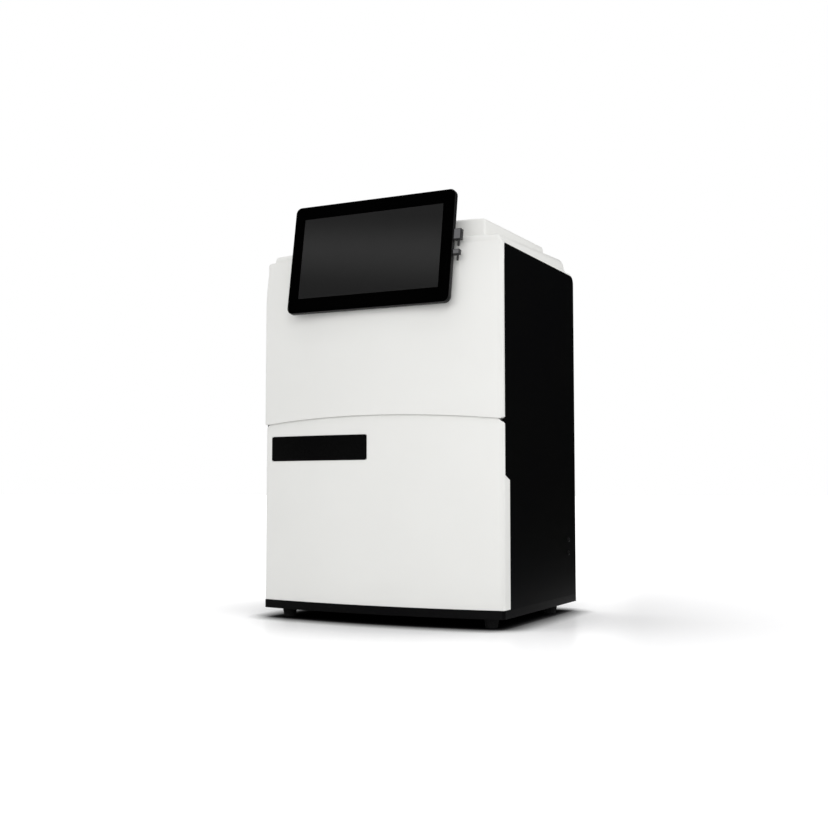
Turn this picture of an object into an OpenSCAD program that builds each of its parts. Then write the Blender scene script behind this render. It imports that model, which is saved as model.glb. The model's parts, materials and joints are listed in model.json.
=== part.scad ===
// Gel documentation system: a bench cabinet with a bowed white front, a pull-out
// blue-light table on telescopic rails, a camera in the hood and a tilting touch screen.
// Millimetres, +Z up, front towards -Y. The origin is the centre of the bounding box's floor.

/* [Cabinet] */
// Width over the side panels
body_w = 375; // [350:1:420]
// Depth from the front corners to the rear face
body_d = 290; // [280:1:340]
// Height of the side panels' top above the base's underside
panel_h = 500; // [480:1:560]
// How far the front bulges at its middle
front_bow = 17.2; // [8:0.2:26]
// Radius of the cabinet's upright front corners
corner_r = 6; // [4:0.5:10]
// Thickness of the cabinet's sheet steel
sheet_t = 2; // [1.2:0.1:3]
// Height of the base pan's rim
base_h = 11; // [8:0.5:16]
// Height of the feet
foot_h = 14; // [8:0.5:25]
// Radius of the feet where they meet the base
foot_r = 10.5; // [7:0.5:14]
// Rounding of the side panels' rear top corner
rear_corner_r = 12; // [6:0.5:18]

/* [Front mouldings] */
// Wall of the white mouldings
shell_t = 3; // [2:0.25:5]
// How far the upper fascia stands ahead of the drawer front
fascia_fwd = 3.5; // [0:0.5:6]
// Height of the fascia's top edge
fascia_top = 503.5; // [502:0.5:508]
// Rounding of the fascia's top corners
end_r = 6; // [3:0.5:8]
// Radius of the fascia's backward roll
roll_r = 300; // [200:10:600]
// Height at which the roll begins
roll_start = 430; // [400:5:460]
// Height of the seam between fascia and drawer front, at its middle
seam_z = 272.5; // [240:0.5:300]
// How much higher the seam is at its middle than at its ends
seam_arch = 9; // [3:0.5:14]
// Gap at the seam
seam_gap = 1.2; // [0.8:0.1:2]
// Depth of the fascia's and the drawer front's upper side returns
upper_return = 6; // [4:0.5:12]
// Depth of the drawer front's lower side returns
lower_return = 22.5; // [18:0.5:30]
// Height at which the lower side returns end
step_z = 182.5; // [150:0.5:210]
// Height of the slope between the two returns
step_h = 6.5; // [3:0.5:12]
// Height of the notch at the drawer front's top corners
notch_h = 7.5; // [4:0.5:10]
// Depth of the notch
notch_d = 14; // [8:0.5:18]

/* [Hood] */
// Inset of the lower tier's sides
tier1_side_in = 6.5; // [4:0.5:14]
// Height of the lower tier above the fascia's top edge, at its front
tier1_h = 10.5; // [8:0.5:18]
// How much higher the lower tier's top is at its rear
tier1_rise = 10; // [0:0.5:12]
// Inset of the upper tier's sides
tier2_side_in = 34; // [25:1:50]
// Inset of the upper tier's front behind the fascia
tier2_front_in = 33; // [30:0.5:40]
// Height of the upper tier above the lower one, at its front
tier2_h = 27.5; // [20:0.5:34]
// How much higher the upper tier's top is at its rear
tier2_rise = 3; // [0:0.5:8]
// Rounding of the lower tier's edges
tier1_r = 6; // [3:0.5:8]
// Rounding of the upper tier's edges
tier2_r = 4; // [3:0.5:6]
// Wall of the hood mouldings
hood_t = 2.5; // [2:0.25:3.5]

/* [Nameplate] */
// Length of the nameplate
plate_w = 166; // [100:1:170]
// Height of the nameplate
plate_h = 35.5; // [20:0.5:40]
// Distance from the cabinet's left side to the plate
plate_left = 12.2; // [10:0.2:40]
// Height of the plate's lower edge
plate_z = 210.8; // [180:0.2:215]
// Thickness of the nameplate
plate_t = 0.8; // [0.5:0.1:2]

/* [Drawer and rails] */
// How far the drawer pulls out
drawer_travel = 200; // [100:5:204]
// Depth of the electrics bay between the drawer's bulkhead and the rear face
bay_d = 48; // [44:1:60]
// Height of the rails
rail_h = 45.6; // [40:0.2:50]
// Width that one rail takes up
rail_w = 12.7; // [12.5:0.1:14]
// Height of the rails' centre line
rail_z = 66; // [50:1:80]
// Height of the tray's floor
tray_z = 24; // [20:1:34]
// Height of the tray's walls above its floor
tray_h = 92; // [88:1:100]
// Width of the blue-light table's frame round its viewing glass
table_margin = 14; // [10:1:30]
// Thickness of the viewing glass
glass_t = 4; // [3:0.5:6]
// Height of the blue-light table
table_h = 72; // [60:1:76]

/* [Camera] */
// Height of the camera shelf
shelf_z = 403; // [395:1:410]
// Distance of the camera's axis from the front chord
camera_y = 135; // [120:1:150]
// Radius of the lens barrel
lens_r = 18; // [15:0.5:20]
// Radius of the amber filter
filter_r = 29; // [26:0.5:34]

/* [Touch screen] */
// Width of the screen's case
screen_w = 254; // [230:1:270]
// Height of the screen's case
screen_h = 160.4; // [140:0.2:165]
// Thickness of the whole screen
screen_t = 9; // [8:0.25:9.5]
// Corner radius of the screen's case
screen_r = 9; // [4:0.5:14]
// How far the screen leans back at rest
screen_lean = 9; // [8:0.5:12]
// Depth of the screen's middle below the fascia's top edge
screen_drop = 5.8; // [2:0.1:12]
// Distance of the screen's middle ahead of the front chord
screen_fwd = 24; // [23:0.5:27]
// Width of the lit display
display_w = 219.5; // [180:0.5:230]
// Height of the lit display
display_h = 119; // [100:0.5:135]
// Radius of the hinge pin
pin_r = 3; // [2:0.25:4]

/* [Hidden] */
eps = 0.01;
fine = 360;   // facets on the cabinet's large bows
round = 64;   // facets on ordinary round things
seat = 0.3;   // gap between pieces that seat without touching
slip = 0.05;  // radial gap of a running fit

// ---- bowed front ----
half_w = body_w / 2;
bow_r = (half_w * half_w + front_bow * front_bow) / (2 * front_bow);
seam_r = (half_w * half_w + seam_arch * seam_arch) / (2 * seam_arch);
seam_end_z = seam_z - seam_arch;
drawer_recess = 1;       // the drawer front behind the base's front
function bow_cy(fwd) = bow_r - front_bow - fwd;
function front_y(x, inset, fwd) = bow_cy(fwd) - sqrt(pow(bow_r - inset, 2) - x * x);
function roll_back(z) = z > roll_start ? roll_r - sqrt(roll_r * roll_r - pow(z - roll_start, 2)) : 0;

tier1_top = fascia_top + tier1_h;
tier2_top = tier1_top + tier2_h;
// The lower tier's front stands just behind the top edge of the rolled fascia.
tier1_front_in = roll_back(fascia_top) + shell_t + seat;

// ---- inner structure ----
panel_gap = 0.3;
panel_in = half_w - sheet_t;              // inner face of the side panels
chassis_out = panel_in - 11;              // outer face of the chassis plates
chassis_in = chassis_out - sheet_t;       // inner face of the chassis plates
frame_y = 26;                             // front face of the front frame
frame_back = frame_y + sheet_t;
bulkhead_y = body_d - bay_d;
bulkhead_back = bulkhead_y + sheet_t;
opening_z0 = base_h + 3;
opening_z1 = seam_end_z - 9;
panel_top_flange = 12;
chassis_top = panel_h - sheet_t;
shelf_top = shelf_z + sheet_t;
rear_flange_y = body_d - 2 * sheet_t;     // front face of the side panels' rear flange

// ---- screen ----
lean = screen_lean;
screen_z = fascia_top - screen_drop;      // height of the screen's middle
hinge_y = front_y(0, tier1_front_in, fascia_fwd) + 12;
hinge_lift = 10;                          // hinge pin above the bracket's seat
hinge_z = tier1_top + hinge_lift;
knuckle_r = pin_r + 3;
screen_foot_y = -screen_fwd - (screen_h / 2) * sin(lean);   // front-most point of the glass

// ---- rear-most and front-most faces: the origin is half way between them ----
inlet_flange_t = 2.5;
rear_most = body_d + inlet_flange_t;
mid_y = (rear_most + screen_foot_y) / 2;

module place() { translate([0, -mid_y, foot_h]) children(); }
module mirror_x() { children(); mirror([1, 0, 0]) children(); }

// Plan of the cabinet with a bowed front, tangent corner arcs and straight sides.
module plan(inset, back, fwd = 0) {
  br = bow_r - inset;
  hw = half_w - inset;
  rc = max(corner_r - inset, 1);
  cx = hw - rc;
  cy = bow_cy(fwd) - sqrt(pow(br - rc, 2) - cx * cx);
  tx = cx * br / (br - rc);
  intersection() {
    union() {
      intersection() {
        translate([0, bow_cy(fwd)]) circle(r = br, $fn = fine * 2);
        translate([-tx, -60]) square([2 * tx, body_d]);
      }
      for (s = [-1, 1]) translate([s * cx, cy]) circle(r = rc, $fn = round);
      translate([-hw, cy]) square([2 * hw, body_d]);
    }
    translate([-half_w, -60]) square([body_w, back + 60]);
  }
}

// The cylinder whose top is the arched seam, grown by dr.
module seam_cylinder(dr) {
  translate([0, -80, seam_z - seam_r]) rotate([-90, 0, 0]) cylinder(r = seam_r + dr, h = 260, $fn = fine * 2);
}

// The waste outside the fascia's rolled top.
module top_roll(inset, fwd) {
  translate([0, bow_cy(fwd), 0]) rotate_extrude($fn = fine)
    translate([bow_r - roll_r, roll_start]) difference() {
      square([roll_r + 20, fascia_top - roll_start + 20]);
      circle(r = roll_r - inset, $fn = fine * 2);
    }
}

// The small V cut out of both mouldings where the seam meets the sides.
nick = 5;
module corner_nick() mirror_x() translate([half_w, -30, seam_end_z]) rotate([-90, 0, 0]) rotate(45)
  linear_extrude(60) square(nick, center = true);

// ---- cabinet ----
module base_pan() place() color([0.03, 0.03, 0.03]) difference() {
  linear_extrude(base_h) plan(0, body_d);
  translate([0, 0, sheet_t]) linear_extrude(base_h) plan(sheet_t, body_d - sheet_t);
  for (p = foot_places) translate([p[0], p[1], -1]) cylinder(r = foot_bore_r, h = sheet_t + 2, $fn = round);
  for (x = [-vent_span : vent_pitch : vent_span]) translate([x - vent_w / 2, vent_y, -1])
    cube([vent_w, foot_rear_y - vent_y - 38, sheet_t + 2]);
}
vent_span = 90;
vent_pitch = 12;
vent_w = 4;
vent_y = 100;

foot_front_x = half_w - 28.5;
foot_rear_x = half_w - 19.5;
foot_front_y = 25;
foot_rear_y = body_d - 62;
foot_places = [
  [-foot_front_x, foot_front_y], [foot_front_x, foot_front_y],
  [-foot_rear_x, foot_rear_y], [foot_rear_x, foot_rear_y]
];

foot_recess = 4;                          // depth of the screw's recess in a foot
foot_bore_r = 2.2;
shank_r = 1.9;
pan_head_r = 4;
pan_head_h = 2.5;
module rubber_feet() place() color([0.05, 0.05, 0.05])
  for (p = foot_places) translate([p[0], p[1], -foot_h]) difference() {
    cylinder(r1 = foot_r - 2, r2 = foot_r, h = foot_h, $fn = round);
    translate([0, 0, -1]) cylinder(r = pan_head_r + 1, h = foot_recess + 1, $fn = round);
    cylinder(r = foot_bore_r, h = foot_h + 1, $fn = round);
  }

// Screws: a foot screw hangs its pan head in the foot; the others have button heads.
button_r = 3.5;
button_edge = 1.2;                        // height of a button head's straight edge
dome_r = 5.5;
module button_screw(len) {
  rotate_extrude($fn = round) difference() {
    union() {
      square([button_r, button_edge]);
      translate([0, button_edge]) intersection() {
        translate([0, 1.1 - dome_r]) circle(r = dome_r, $fn = round);
        square([button_r, 3]);
      }
    }
    translate([-1, button_edge - 0.1]) square([2.3, 3]);
  }
  translate([0, 0, -len]) cylinder(r = shank_r, h = len + 0.5, $fn = round);
}

side_screw_y = body_d - 33.5;
side_screws_z = [75, 94.5];
rear_screw_x = panel_in - 6;
rear_screws_z = [60, 250, 440];
module housing_screws() place() color([0.08, 0.08, 0.08]) {
  for (p = foot_places) translate([p[0], p[1], foot_recess - foot_h]) {
    translate([0, 0, -pan_head_h]) cylinder(r = pan_head_r, h = pan_head_h, $fn = round);
    cylinder(r = shank_r, h = foot_h - foot_recess + sheet_t, $fn = round);
  }
  mirror_x() for (z = side_screws_z) translate([half_w, side_screw_y, z]) rotate([0, 90, 0]) button_screw(9);
  mirror_x() for (z = rear_screws_z) translate([rear_screw_x, body_d, z]) rotate([-90, 0, 0]) button_screw(7);
}

module front_frame() place() color([0.06, 0.06, 0.06]) difference() {
  translate([-panel_in + panel_gap, frame_y, sheet_t])
    cube([2 * (panel_in - panel_gap), sheet_t, chassis_top - sheet_t]);
  translate([-chassis_in, frame_y - 1, opening_z0])
    cube([2 * chassis_in, sheet_t + 2, opening_z1 - opening_z0]);
  for (x = [-boss_x, boss_x], z = boss_zs) translate([x, frame_y - 1, z]) rotate([-90, 0, 0])
    cylinder(r = 2.2, h = sheet_t + 2, $fn = round);
}

module chassis_plate() {
  translate([chassis_in, 0, 0]) rotate([90, 0, 90]) linear_extrude(sheet_t) difference() {
    translate([frame_back, sheet_t]) square([rear_flange_y - frame_back, chassis_top - sheet_t]);
    translate([body_d - rear_corner_r - seat, panel_h - rear_corner_r - seat]) square(rear_corner_r * 2);
  }
  translate([chassis_in, frame_back, sheet_t])
    cube([panel_in - panel_gap - chassis_in, rear_flange_y - frame_back, sheet_t]);
  translate([chassis_in, frame_back, chassis_top - sheet_t])
    cube([panel_in - panel_gap - chassis_in, rear_flange_y - frame_back - rear_corner_r, sheet_t]);
  for (z = side_screws_z) translate([chassis_out - eps, side_screw_y, z]) rotate([0, 90, 0]) difference() {
    cylinder(r = 5, h = panel_in - chassis_out + eps, $fn = round);
    translate([0, 0, 1]) cylinder(r = 1.95, h = 20, $fn = round);
  }
}
module left_chassis_plate() place() color([0.35, 0.36, 0.37]) mirror([1, 0, 0]) chassis_plate();
module right_chassis_plate() place() color([0.35, 0.36, 0.37]) chassis_plate();

contact_z = 40;
bulkhead_foot = 14;                       // flange that stands on the base pan
module rear_bulkhead() place() color([0.06, 0.06, 0.06]) difference() {
  union() {
    translate([-chassis_in + panel_gap, bulkhead_y, sheet_t])
      cube([2 * (chassis_in - panel_gap), sheet_t, shelf_z - sheet_t]);
    translate([-chassis_in + panel_gap, bulkhead_y, sheet_t])
      cube([2 * (chassis_in - panel_gap), bulkhead_foot, sheet_t]);
  }
  translate([-contact_w / 2 + 3, bulkhead_y - 1, contact_z - 5]) cube([contact_w - 6, sheet_t + 2, 10]);
}

// What a rounded top right corner leaves over, about the rounding's centre.
module outside_round(r) difference() {
  square(r + 1);
  circle(r = r, $fn = round);
}

// Outline of a side panel as (y, z): stepped at the front, rounded at both top corners.
panel_front_r = 4;
module panel_outline() {
  difference() {
    polygon([
      [upper_return, panel_h], [upper_return, step_z + step_h], [lower_return, step_z],
      [lower_return, base_h], [body_d, base_h], [body_d, panel_h]
    ]);
    translate([body_d - rear_corner_r, panel_h - rear_corner_r]) outside_round(rear_corner_r);
    translate([upper_return + panel_front_r, panel_h - panel_front_r])
      mirror([1, 0]) outside_round(panel_front_r);
  }
}
module side_panel() difference() {
  union() {
    translate([panel_in, 0, 0]) rotate([90, 0, 90]) linear_extrude(sheet_t) panel_outline();
    translate([panel_in - panel_top_flange, frame_back, panel_h - sheet_t])
      cube([panel_top_flange + eps, body_d - rear_corner_r - frame_back, sheet_t]);
    translate([panel_in - panel_top_flange, rear_flange_y, base_h + sheet_t])
      cube([panel_top_flange + eps, sheet_t, panel_h - base_h - 2 * sheet_t - rear_corner_r]);
  }
  for (z = side_screws_z) translate([panel_in - 1, side_screw_y, z]) rotate([0, 90, 0])
    cylinder(r = 2.1, h = sheet_t + 2, $fn = round);
  for (z = rear_screws_z) translate([rear_screw_x, rear_flange_y - 1, z]) rotate([-90, 0, 0])
    cylinder(r = 1.95, h = sheet_t + 2, $fn = round);
}
module left_side_panel() place() color([0.04, 0.04, 0.04]) mirror([1, 0, 0]) side_panel();
module right_side_panel() place() color([0.04, 0.04, 0.04]) side_panel();

// Rear sheet with louvres, the mains module's cut-out and a rolled top edge.
inlet_x = -110;
inlet_z = 64;
inlet_w = 27;
inlet_h = 58;
inlet_flange = 3.5;
inlet_d = 26;
louvre_zs = [for (i = [0 : 11]) 300 + i * 13];
module rear_panel() place() color([0.04, 0.04, 0.04]) difference() {
  union() {
    translate([-panel_in + panel_gap, body_d - sheet_t, base_h])
      cube([2 * (panel_in - panel_gap), sheet_t, panel_h - base_h - rear_corner_r]);
    translate([0, body_d - rear_corner_r, panel_h - rear_corner_r]) rotate([90, 0, 90])
      linear_extrude(2 * (panel_in - panel_gap), center = true) intersection() {
        difference() {
          circle(r = rear_corner_r, $fn = round);
          circle(r = rear_corner_r - sheet_t, $fn = round);
        }
        square(rear_corner_r + 1);
      }
  }
  translate([inlet_x - inlet_w / 2 - panel_gap, body_d - sheet_t - 1, inlet_z - inlet_h / 2 - panel_gap])
    cube([inlet_w + 2 * panel_gap, sheet_t + 2, inlet_h + 2 * panel_gap]);
  for (z = louvre_zs, x = [-75, 75]) translate([x, body_d - sheet_t - 1, z]) louvre_slot();
  mirror_x() for (z = rear_screws_z) translate([rear_screw_x, body_d - sheet_t - 1, z]) rotate([-90, 0, 0])
    cylinder(r = 2.1, h = sheet_t + 2, $fn = round);
}
module louvre_slot() {
  rotate([-90, 0, 0]) linear_extrude(sheet_t + 2) {
    square([94, 5], center = true);
    for (s = [-1, 1]) translate([s * 47, 0]) circle(r = 2.5, $fn = round);
  }
}

// ---- white mouldings ----
boss_x = 120;
boss_zs = [310, 470];
module upper_fascia() place() color([0.9, 0.9, 0.89]) difference() {
  union() {
    difference() {
      translate([0, 0, seam_end_z - 1]) linear_extrude(fascia_top - seam_end_z + 1)
        plan(0, upper_return - panel_gap, fascia_fwd);
      seam_cylinder(seam_gap / 2);
      top_roll(0, fascia_fwd);
      difference() {
        translate([0, 0, seam_end_z - 2]) linear_extrude(fascia_top - seam_end_z + 4)
          plan(shell_t, upper_return + 20, fascia_fwd);
        seam_cylinder(seam_gap / 2 + shell_t);
        top_roll(shell_t, fascia_fwd);
      }
      corner_nick();
      mirror_x() translate([half_w - end_r, 60, fascia_top - end_r]) rotate([90, 0, 0])
        linear_extrude(120) outside_round(end_r);
    }
    for (x = [-boss_x, boss_x], z = boss_zs)
      translate([x, front_y(x, shell_t / 2, fascia_fwd) + roll_back(z), z]) rotate([-90, 0, 0])
        cylinder(r = 5, h = frame_y - front_y(x, shell_t / 2, fascia_fwd) - roll_back(z), $fn = round);
  }
  for (x = [-boss_x, boss_x], z = boss_zs) translate([x, frame_y - 12, z]) rotate([-90, 0, 0])
    cylinder(r = 1.6, h = 13, $fn = round);
}

// One moulded tier of the hood: rounded edges over a bowed front and a sloping back.
module tier(side_in, front_in, back0, back1, z0, z1, rise, r, draft) {
  hw0 = half_w - side_in;
  xs = [for (i = [-4 : 4]) i / 4];
  hull() for (u = xs) {
    x = u * (hw0 - r);
    xt = u * (hw0 - r - draft);
    translate([x, front_y(x, front_in + r, fascia_fwd), z0]) cylinder(r = r, h = eps, $fn = 24);
    translate([xt, front_y(x, front_in + r + draft, fascia_fwd), z1 - r]) sphere(r = r, $fn = 24);
    translate([x, back0 - r, z0]) cylinder(r = r, h = eps, $fn = 24);
    translate([xt, back1 - r, z1 + rise - r]) sphere(r = r, $fn = 24);
  }
}
rim_t = 3;
rim_r = 2.6;
tier1_draft = 1.5;
tier2_draft = 2;
tier1_back0 = body_d - 11;
tier1_back1 = body_d - 23;
tier2_back0 = tier1_back1 - 3;
tier2_back1 = tier1_back1 - 13;
module lower_tier(inset, z0) tier(tier1_side_in + inset, tier1_front_in + inset, tier1_back0 - inset,
  tier1_back1 - inset, z0, tier1_top - inset, tier1_rise, tier1_r - inset / 2, tier1_draft);
module upper_tier(inset, z0) tier(tier2_side_in + inset, tier2_front_in + inset, tier2_back0 - inset,
  tier2_back1 - inset, z0, tier2_top - inset, tier2_rise, tier2_r - inset / 4, tier2_draft);

// The rim's section (x, z) over the side panels, rounded along both sides.
module rim_section() difference() {
  translate([-half_w, 0]) square([body_w, rim_t]);
  for (m = [0, 1]) mirror([m, 0]) translate([half_w - rim_r, rim_t - rim_r]) outside_round(rim_r);
}
hood_open_x = 100;
hood_open_y = 50;
module top_cover() place() color([0.9, 0.9, 0.89]) {
  rim_back = body_d - rear_corner_r - panel_gap;
  difference() {
    union() {
      translate([0, rim_back, panel_h]) rotate([90, 0, 0])
        linear_extrude(rim_back - upper_return) rim_section();
      lower_tier(0, panel_h + 1);
    }
    lower_tier(hood_t, panel_h - 5);
    translate([-hood_open_x, hood_open_y, tier1_top - 10])
      cube([2 * hood_open_x, tier2_back1 - 2 * hood_open_y, 40]);
    translate([-ear_x - ear_w / 2 - seat, hinge_y - knuckle_r - seat, tier1_top])
      cube([2 * ear_x + ear_w + 2 * seat, 2 * (knuckle_r + seat), 10]);
  }
  // A fillet of the moulding fills each side panel's rounded front corner.
  mirror_x() translate([panel_in, 0, 0]) rotate([90, 0, 90]) linear_extrude(sheet_t) difference() {
    translate([upper_return, panel_h - panel_front_r]) square([panel_front_r, panel_front_r + rim_r / 4]);
    translate([upper_return + panel_front_r, panel_h - panel_front_r])
      circle(r = panel_front_r + panel_gap, $fn = round);
  }
}
module camera_hood() place() color([0.9, 0.9, 0.89]) difference() {
  upper_tier(0, tier1_top - 2);
  upper_tier(hood_t, tier1_top - 5);
  lower_tier(0, panel_h + 1);
}

// ---- imaging chamber ----
bridge_w = 68;                            // width of the bridge that carries the camera
bridge_d = 50;
bridge_h = 49;
bridge_z = shelf_top + bridge_h;
mount_r = 15;                             // radius of the camera's lens mount
module camera_shelf() place() color([0.06, 0.06, 0.06]) difference() {
  union() {
    translate([-chassis_in + panel_gap, frame_back, shelf_z])
      cube([2 * (chassis_in - panel_gap), bulkhead_back - frame_back, sheet_t]);
    for (x = [-bridge_w / 2, bridge_w / 2 - sheet_t]) translate([x, camera_y - bridge_d / 2, shelf_z])
      cube([sheet_t, bridge_d, bridge_z - shelf_z]);
    translate([-bridge_w / 2, camera_y - bridge_d / 2, bridge_z - sheet_t])
      cube([bridge_w, bridge_d, sheet_t]);
  }
  translate([0, camera_y, shelf_z - 1]) cylinder(r = filter_r - 2, h = sheet_t + 2, $fn = round);
  translate([0, camera_y, bridge_z - 5]) cylinder(r = mount_r + 0.2, h = 10, $fn = round);
}
seal_t = 1.6;
seal_out = 9;                             // the seal's outer edge beyond the opening
seal_in = 1;
module light_seal() place() color([0.1, 0.1, 0.1]) difference() {
  translate([-chassis_in - seal_out, frame_y - seal_t, opening_z0 - seal_out + 1])
    cube([2 * (chassis_in + seal_out), seal_t, opening_z1 - opening_z0 + 2 * seal_out - 2]);
  translate([-chassis_in - seal_in, frame_y - seal_t - 1, opening_z0 - seal_in])
    cube([2 * (chassis_in + seal_in), seal_t + 2, opening_z1 - opening_z0 + 2 * seal_in]);
}
lens_z0 = shelf_z - 1;
lens_l = bridge_z - sheet_t - 2 - lens_z0;
camera_w = 44;
camera_h = 52;
fin_pitch = 8;
module camera_body() place() color([0.12, 0.12, 0.13]) {
  translate([-camera_w / 2, camera_y - camera_w / 2, bridge_z]) cube([camera_w, camera_w, camera_h]);
  translate([0, camera_y, bridge_z - sheet_t - 2]) cylinder(r = mount_r, h = sheet_t + 2 + eps, $fn = round);
  for (z = [fin_pitch : fin_pitch : camera_h - 12])
    translate([-camera_w / 2 - 1, camera_y - camera_w / 2, bridge_z + z]) cube([camera_w + 2, camera_w, 3]);
}
ring_gap = 0.05;
focus_z = lens_z0 + 6;
focus_l = 14;
iris_z = focus_z + focus_l + 6;
iris_l = 9;
lens_top = lens_z0 + lens_l;
ring_seat = 3;                            // depth of the grooves that the two rings turn in
module lens_barrel() place() color([0.05, 0.05, 0.05]) translate([0, camera_y, 0])
  rotate_extrude($fn = round * 2) difference() {
    union() {
      translate([0, lens_z0]) square([lens_r - ring_seat, lens_l]);
      translate([0, lens_z0]) square([lens_r, focus_z - lens_z0 - ring_gap]);
      translate([0, focus_z + focus_l + ring_gap])
        square([lens_r, iris_z - focus_z - focus_l - 2 * ring_gap]);
      translate([0, iris_z + iris_l + ring_gap])
        square([lens_r - ring_seat / 2, lens_top - iris_z - iris_l - ring_gap]);
    }
    translate([0, lens_z0 - 1]) square([lens_r - 2 * ring_seat, 4]);
  }
module knurled_ring(r, h, flutes) difference() {
  cylinder(r = r, h = h, $fn = round * 2);
  translate([0, 0, -1]) cylinder(r = lens_r - ring_seat + slip, h = h + 2, $fn = round * 2);
  for (i = [0 : flutes - 1]) rotate(i * 360 / flutes) translate([r + 0.4, 0, 2])
    cylinder(r = 1, h = h - 4, $fn = 16);
}
module focus_ring() place() color([0.09, 0.09, 0.09]) translate([0, camera_y, focus_z])
  knurled_ring(lens_r + 3, focus_l, 36);
module iris_ring() place() color([0.09, 0.09, 0.09]) translate([0, camera_y, iris_z])
  knurled_ring(lens_r + 2, iris_l, 30);
filter_z = shelf_z - 7;
filter_lip = 4;                           // ledge that carries the filter
filter_wall = 8;
module filter_holder() place() color([0.06, 0.06, 0.06]) translate([0, camera_y, 0])
  rotate_extrude($fn = round * 2) difference() {
    translate([filter_r - filter_lip, filter_z - filter_lip])
      square([filter_lip + filter_wall, shelf_z - filter_z + filter_lip]);
    translate([filter_r - filter_lip - 1, filter_z]) square([filter_lip + 1 + slip, 20]);
  }
module amber_filter() place() color([0.85, 0.4, 0.05, 0.6]) translate([0, camera_y, filter_z])
  cylinder(r = filter_r, h = 3, $fn = round * 2);
bar_x = 120;
bar_w = 24;
bar_h = 12;
bar_wall = 2;
bar_end = 17;                             // from the frame and the bulkhead to a bar's end
bar_y = frame_back + bar_end;
bar_l = bulkhead_y - bar_end - bar_y;
module white_light_bars() place() color([0.7, 0.7, 0.7]) mirror_x() difference() {
  translate([bar_x - bar_w / 2, bar_y, shelf_z - bar_h]) cube([bar_w, bar_l, bar_h]);
  translate([bar_x - bar_w / 2 + bar_wall, bar_y + bar_wall, shelf_z - bar_h - 1])
    cube([bar_w - 2 * bar_wall, bar_l - 2 * bar_wall, 8]);
}
module light_diffusers() place() color([0.95, 0.95, 0.95, 0.8]) mirror_x()
  translate([bar_x - bar_w / 2 + bar_wall + slip, bar_y + bar_wall + slip, shelf_z - bar_h])
    cube([bar_w - 2 * (bar_wall + slip), bar_l - 2 * (bar_wall + slip), 2]);

// ---- electrics ----
board_x = 20;                             // from the middle to the board's inner edge
board_z = 190;
pcb_w = 140;
pcb_h = 100;
pcb_t = 1.6;
standoff = 6;
standoff_in = 6;                          // from the board's edges to its standoffs
module control_board() place() color([0.05, 0.25, 0.12]) translate([board_x, bulkhead_back, board_z]) {
  face = standoff + pcb_t - eps;
  translate([0, standoff, 0]) cube([pcb_w, pcb_t, pcb_h]);
  for (x = [standoff_in, pcb_w - standoff_in], z = [standoff_in, pcb_h - standoff_in])
    translate([x, 0, z]) rotate([-90, 0, 0]) cylinder(r = standoff / 2, h = standoff + eps, $fn = round);
  translate([pcb_w / 7, face, pcb_h / 5]) cube([28, 3, 28]);
  translate([pcb_w / 2, face, pcb_h / 4]) cube([16, 8, 20]);
  translate([pcb_w - 32, face, pcb_h / 10]) cube([22, 11, 12]);
  for (i = [0 : 3]) translate([pcb_w * 3 / 7 + i * 12, face, pcb_h - 22]) rotate([-90, 0, 0])
    cylinder(r = 4, h = 12, $fn = round);
}
psu_x = 20;
psu_z = 50;
psu_w = 130;
psu_h = 98;
psu_d = rear_flange_y - bulkhead_back - 6;
psu_hole_r = 3;
module power_supply() place() color([0.72, 0.73, 0.74]) translate([psu_x, bulkhead_back, psu_z])
  difference() {
    cube([psu_w, psu_d, psu_h]);
    for (x = [14 : 12 : psu_w - 14], z = [12 : 18 : psu_h - 12]) translate([x, psu_d - 6, z])
      rotate([-90, 0, 0]) cylinder(r = psu_hole_r, h = 10, $fn = 24);
  }
socket_z = inlet_z - 14;
fuse_z = inlet_z + 5.5;
rocker_z = inlet_z + 19;
module mains_inlet() place() color([0.05, 0.05, 0.05]) translate([inlet_x, 0, 0]) difference() {
  union() {
    translate([-inlet_w / 2, body_d - inlet_d, inlet_z - inlet_h / 2]) cube([inlet_w, inlet_d + 1, inlet_h]);
    translate([-inlet_w / 2 - inlet_flange, body_d, inlet_z - inlet_h / 2 - inlet_flange])
      cube([inlet_w + 2 * inlet_flange, inlet_flange_t, inlet_h + 2 * inlet_flange]);
  }
  translate([0, body_d - socket_d, socket_z]) rotate([-90, 0, 0])
    linear_extrude(2 * socket_d) socket_outline();
  translate([-fuse_w / 2 - slip * 2, body_d - fuse_l - 1, fuse_z - fuse_t / 2 - slip * 2])
    cube([fuse_w + 4 * slip, 2 * fuse_l, fuse_t + 4 * slip]);
  translate([-rocker_w / 2 - seat, rocker_y - rocker_r - seat, rocker_z - rocker_r - seat])
    cube([rocker_w + 2 * seat, 6 * rocker_r, 2 * (rocker_r + seat)]);
}
// A three-pin appliance inlet's recess, its earth side up: mirrored, as the extrusion turns it over.
socket_d = 15;
socket_w = 24;
socket_h = 16.6;
chamfer = 4.4;
module socket_outline() polygon([
  [-socket_w / 2, socket_h / 2], [socket_w / 2, socket_h / 2], [socket_w / 2, chamfer - socket_h / 2],
  [socket_w / 2 - chamfer, -socket_h / 2], [chamfer - socket_w / 2, -socket_h / 2],
  [-socket_w / 2, chamfer - socket_h / 2]
]);
pin_w = 2;
pin_h = 4;
pin_l = 13;
pin_pitch = 7;
module inlet_blades() place() color([0.8, 0.75, 0.6]) translate([inlet_x, body_d - socket_d, socket_z])
  for (p = [[-pin_pitch, -2], [pin_pitch, -2], [0, 2]]) translate([p[0] - pin_w / 2, 0, p[1] - pin_h / 2])
    cube([pin_w, pin_l, pin_h]);
fuse_w = 20;
fuse_t = 7.5;
fuse_l = 19;                              // depth of the fuse drawer inside the rear face
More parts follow.
